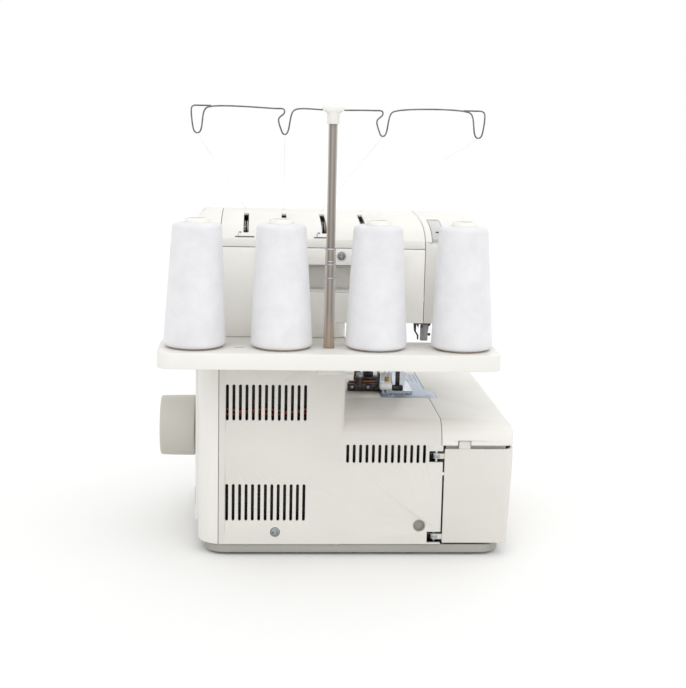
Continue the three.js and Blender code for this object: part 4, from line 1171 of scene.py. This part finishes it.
def number(name, text, place, height, turn, material, body="machine", slot="cover"):
    """A generic number, cut from film and laid on a face; height in millimetres."""
    curve = bpy.data.curves.new(name, "FONT")
    curve.body = text
    curve.size = height * MM
    curve.extrude = 0.06 * MM
    curve.align_x = "CENTER"
    curve.align_y = "CENTER"
    writing = bpy.data.objects.new(name + "_curve", curve)
    bpy.context.scene.collection.objects.link(writing)
    bpy.context.view_layer.update()
    graph = bpy.context.evaluated_depsgraph_get()
    mesh = bpy.data.meshes.new_from_object(writing.evaluated_get(graph))
    mesh.transform(Matrix.Translation(place) @ turn.to_4x4())
    bpy.data.objects.remove(writing)
    piece = bpy.data.objects.new(name, mesh)
    bpy.context.scene.collection.objects.link(piece)
    finished(piece, body, slot, MATERIALS[material])


FACING_OPERATOR = Matrix(((1, 0, 0), (0, 0, -1), (0, 1, 0)))
FACING_REAR = Matrix.Rotation(math.radians(-22), 3, "X") @ Matrix(((-1, 0, 0), (0, 0, 1), (0, 1, 0)))


def controls():
    """The four tension dials, the stitch-length dial, the differential lever and their scales."""
    head_face = corners("front_panel")[0].y
    for index, (x, ink) in enumerate(zip(THREAD_SLOTS, MARK_INKS), 1):
        node = "tension_dial_%d" % index
        low, high = corners(node)
        fluted_dial(node, -222, (high.x - low.x) / 2, 12)
        dial_scale("tension_scale_%d" % index, x, 250, 13.5, -222, 9)
        place = at(x, -222.1, 271)
        number("tension_number_%d" % index, str(index), place, 5, FACING_OPERATOR, ink)
    low, high = corners("stitch_length_dial")
    fluted_dial("stitch_length_dial", head_face, (high.x - low.x) / 2, 8)
    dial_scale("length_scale", 98, 152, 12, head_face, 7)
    refined("differential_lever", edge=0.8, segments=3)
    dial_scale("differential_scale", 62, 152, 10.5, head_face, 5)
    refined("power_switch", edge=0.8, segments=3)
    refined("power_inlet", edge=0.4)


# ---------- cone stand ----------
CONE_Y = 34
STAND_TOP = 200
CONE_RADII = (26.8, 21.4)
TUBE_FOOT_RADIUS = 21.6
TUBE_BODY_RADIUS = 21.2
TUBE_TOP_RADIUS = 10.1
POLE_X = 27.8


def cone_profile(bottom, top, radius, top_radius, inner):
    """A wound cone's outline, from its inner foot round its soft shoulders to its inner top."""
    foot, shoulder = 3.0, 4.0
    profile = [(inner(bottom), bottom), (radius - foot - 1.0, bottom + 0.1)]
    profile += arc(radius - foot, bottom + foot, foot, -90, 0, 6)
    start, end = profile[-1], (top_radius, top - shoulder)
    rows = 46
    for i in range(1, rows + 1):
        share = i / rows
        profile.append((start[0] + (end[0] - start[0]) * share, start[1] + (end[1] - start[1]) * share))
    profile += arc(top_radius - shoulder, top - shoulder, shoulder, 12, 90, 6)
    profile.append((inner(top), top + 0.6))
    profile.append(profile[0])
    return profile


CONE_LEANS = (-2.2, 1.4, 0.4, 1.9)


def lean_over(piece, top_shift, foot, head):
    """Leans a loose cone along X: its foot stays and its head moves by that many millimetres."""
    for vertex in piece.data.vertices:
        share = (vertex.co.z / MM - foot) / (head - foot)
        vertex.co.x += top_shift * share * MM


def wound_cones():
    """The four cones: a board tube with rolled lips, and the thread wound on it."""
    for index in range(1, 5):
        tube_low, tube_high = corners("cone_tube_%d" % index)
        thread_low, thread_high = corners("cone_thread_%d" % index)
        x = centre("cone_thread_%d" % index).x
        foot = tube_low.z
        head = tube_high.z

        def board(z):
            narrowing = TUBE_TOP_RADIUS - TUBE_BODY_RADIUS
            return TUBE_BODY_RADIUS + narrowing * (z - foot - 5) / (head - foot - 6)

        draw = random.Random(40 + index)
        phase = draw.uniform(0, 6.28)
        swell = draw.uniform(0.1, 0.25)

        def uneven(angle, out):
            return out + swell * math.sin(3 * angle + phase) * 0.4 - 0.15

        profile = cone_profile(thread_low.z, thread_high.z - 1.5, *CONE_RADII,
                               lambda z: board(z) + 0.4)
        wound = lathe("cone_thread_%d_fine" % index, profile, (x, CONE_Y, 0), "z", 72, uneven)
        lean_over(wound, CONE_LEANS[index - 1], foot, head)
        smooth(wound, 60)
        finished(wound, "machine", "thread", MATERIALS["thread"], "cone_thread_%d" % index)

        wall = 1.6
        lip = arc(TUBE_TOP_RADIUS - wall / 2, head - 0.8, wall / 2, 0, 180, 6)
        inside = (TUBE_FOOT_RADIUS - wall, foot)
        shape = [inside, (TUBE_FOOT_RADIUS, foot), (21.4, foot + 1.2), (TUBE_BODY_RADIUS, foot + 5),
                 *lip, (19.4, foot + 5), inside]
        core = lathe("cone_tube_%d_fine" % index, shape, (x, CONE_Y, 0), "z", 56)
        lean_over(core, CONE_LEANS[index - 1], foot, head)
        smooth(core, 50)
        finished(core, "machine", "tube", MATERIALS["tube"], "cone_tube_%d" % index)


def stand_details():
    """Grey marks on the top of the stand: painted shade standing for its shallow moulded slots."""
    top = STAND_TOP
    for index, (x, y, length) in enumerate(((105, 39, 9), (47, 39, 8), (-13, 39, 8)), 1):
        outline = rounded_outline(x - length / 2, x + length / 2, y - 0.9, y + 0.9, 0.85)
        # painted shade: a flat grey mark in place of each slot
        mark = plate("stand_slot_painted_shade_%d" % index, outline, "z", top - 0.3, top + 0.08, 0)
        fixed(mark, "stand", "tray")


def telescopic_pole():
    """The chromed tubes, with a rolled collar and two locking grooves near their joint."""
    low, high = corners("pole_outer_tube")
    middle = centre("pole_outer_tube")
    radius = (high.x - low.x) / 2
    place = (middle.x, middle.y, 0)
    profile = [(0, low.z), (radius - 0.3, low.z), (radius, low.z + 0.4)]
    for groove in (260.1, 271.6, 274.4):
        profile += [(radius, groove - 0.9), (radius - 0.35, groove), (radius, groove + 0.9)]
    profile += [(radius, high.z - 0.5), (radius - 0.25, high.z), (radius - 0.5, high.z),
                (radius - 0.5, high.z - 6), (0, high.z - 6.5)]
    outer = lathe("pole_outer_fine", profile, place, "z", 40)
    smooth(outer, 50)
    finished(outer, "machine", "steel", MATERIALS["pole"], "pole_outer_tube")
    low, high = corners("pole_inner_tube")
    radius = (high.x - low.x) / 2
    profile = [(0, low.z), (radius - 0.4, low.z), (radius, low.z + 0.5), (radius, high.z - 4),
               (radius - 0.4, high.z - 3.6), (radius - 0.4, high.z), (0, high.z)]
    inner = lathe("pole_inner_fine", profile, place, "z", 40)
    smooth(inner, 50)
    finished(inner, "thread_guide", "steel", MATERIALS["pole"], "pole_inner_tube")
    for index, z in enumerate((260.7, 272.2, 275, 285.6), 1):
        deep = 0.5 if z > 280 else 0.3
        band = [(4.3, z - deep), (4.62 + deep / 5, z - deep), (4.7 + deep / 5, z),
                (4.62 + deep / 5, z + deep), (4.3, z + deep), (4.3, z - deep)]
        ring = lathe("pole_ring_%d" % index, band, place, "z", 40)
        smooth(ring, 50)
        fixed(ring, "steel", "steel")


def guide_cap():
    """The moulded cap: a round neck that flares into a flange for the wire."""
    low, high = corners("guide_cap")
    middle = centre("guide_cap")
    x, y = middle.x, middle.y
    neck, flare, top = 5.2, 399.2, high.z
    half_x, half_y = (high.x - low.x) / 2, (high.y - low.y) / 2
    rows = [(low.z, neck - 0.5, neck - 0.5), (low.z + 0.6, neck, neck), (flare - 1, neck, neck)]
    for i in range(1, 6):
        share = i / 5
        bend = 1 - math.cos(share * math.pi / 2)
        rows.append((flare - 1 + 3.4 * share, neck + (half_x - neck) * bend, neck + (half_y - neck) * bend))
    rows += [(top - 0.7, half_x, half_y), (top - 0.2, half_x - 0.3, half_y - 0.3),
             (top, half_x - 0.9, half_y - 0.9)]
    points, faces, steps = [], [], 48
    for z, across, deep in rows:
        blend = min(1, max(0, (across - neck) / (half_x - neck)))
        power = 2 + 2.5 * blend
        for i in range(steps):
            angle = 2 * math.pi * i / steps
            c, s = math.cos(angle), math.sin(angle)
            points.append(at(x + across * math.copysign(abs(c) ** (2 / power), c),
                             y + deep * math.copysign(abs(s) ** (2 / power), s), z))
    for row in range(len(rows) - 1):
        for i in range(steps):
            j = (i + 1) % steps
            a = row * steps
            faces.append((a + i, a + j, a + steps + j, a + steps + i))
    faces.append(tuple(reversed(range(steps))))
    faces.append(tuple(range((len(rows) - 1) * steps, len(rows) * steps)))
    cap = mesh_object("guide_cap_fine", points, faces)
    smooth(cap, 45)
    finished(cap, "thread_guide", "stand", MATERIALS["stand"], "guide_cap")


HOOKS = [27.8 + x for x in (113.5, 40.5, -42, -123)]
WIRE = {"radius": 0.65, "z": 402, "drop": 21, "rise": 1.5}


def wire_points():
    """The guide wire's route: a curl at each end and two kinks, all hooks for the thread."""
    z, drop, rise = WIRE["z"], WIRE["drop"], WIRE["rise"]
    low = z - drop

    def spot(x, y, height):
        return at(x, CONE_Y + y, height)

    def curl(x, side):
        return [
            spot(x - 11 * side, -15, z + rise),
            spot(x - 2 * side, -13, z + rise),
            spot(x + 3.6 * side, -6, z + rise - 0.3),
            spot(x + 5 * side, -1, z + rise - 3),
            spot(x + 3.3 * side, 0, low + 3.6),
            spot(x + 2 * side, 0, low + 0.9),
            spot(x, 0, low),
            spot(x - 2 * side, 0, low + 0.9),
            spot(x - 3.3 * side, 0, low + 3.6),
            spot(x - 5.8 * side, 0, z - 2.6),
            spot(x - 9 * side, 0, z + 0.4),
        ]

    def kink(x):
        return [
            spot(x + 9, 0, z + 0.3),
            spot(x + 1, 0, z - 0.3),
            spot(x + 0.6, 0, z - 3.2),
            spot(x + 5.2, 0, z - 8.2),
            spot(x + 2.9, 0, low + 3.4),
            spot(x + 1.6, 0, low + 0.8),
            spot(x, 0, low),
            spot(x - 1.6, 0, low + 0.8),
            spot(x - 2.9, 0, low + 3.4),
            spot(x - 6.2, 0, z - 2.6),
            spot(x - 9.5, 0, z),
        ]

    middle = centre("guide_cap").x
    return [
        *curl(HOOKS[0], 1),
        *kink(HOOKS[1]),
        spot(middle + 6, 0, z),
        spot(middle - 6, 0, z),
        *kink(HOOKS[2]),
        *reversed(curl(HOOKS[3], -1)),
    ]


def guide_wire():
    """One spring wire bent into the four hooks."""
    wire = tube("guide_wire_fine", through(wire_points(), 8), WIRE["radius"], 12)
    finished(wire, "thread_guide", "blued", MATERIALS["wire"], "guide_wire")


STRAND_END_Y = -92
SLOT_MOUTH = 307
THREAD_START = 311.4


def strand_points(index):
    """A thread's route: out of its cone, over its hook and down into its slot."""
    x = centre("cone_thread_%d" % (index + 1)).x
    start = at(x + CONE_LEANS[index], CONE_Y - TUBE_TOP_RADIUS + 4, THREAD_START)
    hook = at(HOOKS[index], CONE_Y, WIRE["z"] - WIRE["drop"] + WIRE["radius"] + 1.1)
    slot = at(THREAD_SLOTS[index], STRAND_END_Y, SLOT_MOUTH)
    before = hook + Vector((0, 0.4, -1)) * MM
    after = hook + Vector((0, -0.4, -1)) * MM
    return [start, start.lerp(before, 0.5), before, hook, after, after.lerp(slot, 0.5), slot]


def strands():
    """The four threads."""
    diameter = 0.4
    for index in range(4):
        route = through(strand_points(index), 6)
        name = "thread_strand_%d" % (index + 1)
        thread = tube(name + "_fine", route, diameter / 2, 8)
        finished(thread, frame["nodes"][name]["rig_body"], "thread", MATERIALS["strand"], name)
        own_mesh(thread)


# ---------- the rest of the machine ----------
DONE_BY_HAND = {
    "handwheel", "guide_cap", "guide_wire", "pole_outer_tube", "pole_inner_tube",
    "stitch_length_dial", "differential_lever", "power_switch", "power_inlet",
    "cone_stand", "base_tray", "rear_panel", "end_cover", "arm_rear_cover", "top_cover",
    "front_panel", "face_cover", "cloth_plate", "looper_cover", "side_door", "stand_bracket",
}


def working_parts():
    """Every other piece of the machine, as a fine copy of its CAD piece."""
    for node in frame["nodes"]:
        handmade = node.startswith(("cone_", "thread_strand_", "tension_dial_"))
        if node in DONE_BY_HAND or handmade:
            continue
        small = node.startswith("needle_") and node not in ("needle_plate", "needle_clamp")
        own = MATERIALS["plate"] if node == "needle_plate" else None
        refined(node, own, edge=0 if small else 0.25)


add_camera()
MATERIALS = make_materials()
strands()
guide_wire()
telescopic_pole()
guide_cap()
wound_cones()
stand_details()
fine_shells()
seam_tongues()
rear_screws()
vent_wiring()
vent_baffles()
hinge_springs()
recess_lining()
carrying_grip()
slot_marks()
tension_discs()
arm_cover_details()
lifter_details()
needle_area()
presser_details()
knife_details()
needle_plate_details()
handwheel()
controls()
working_parts()
add_studio()
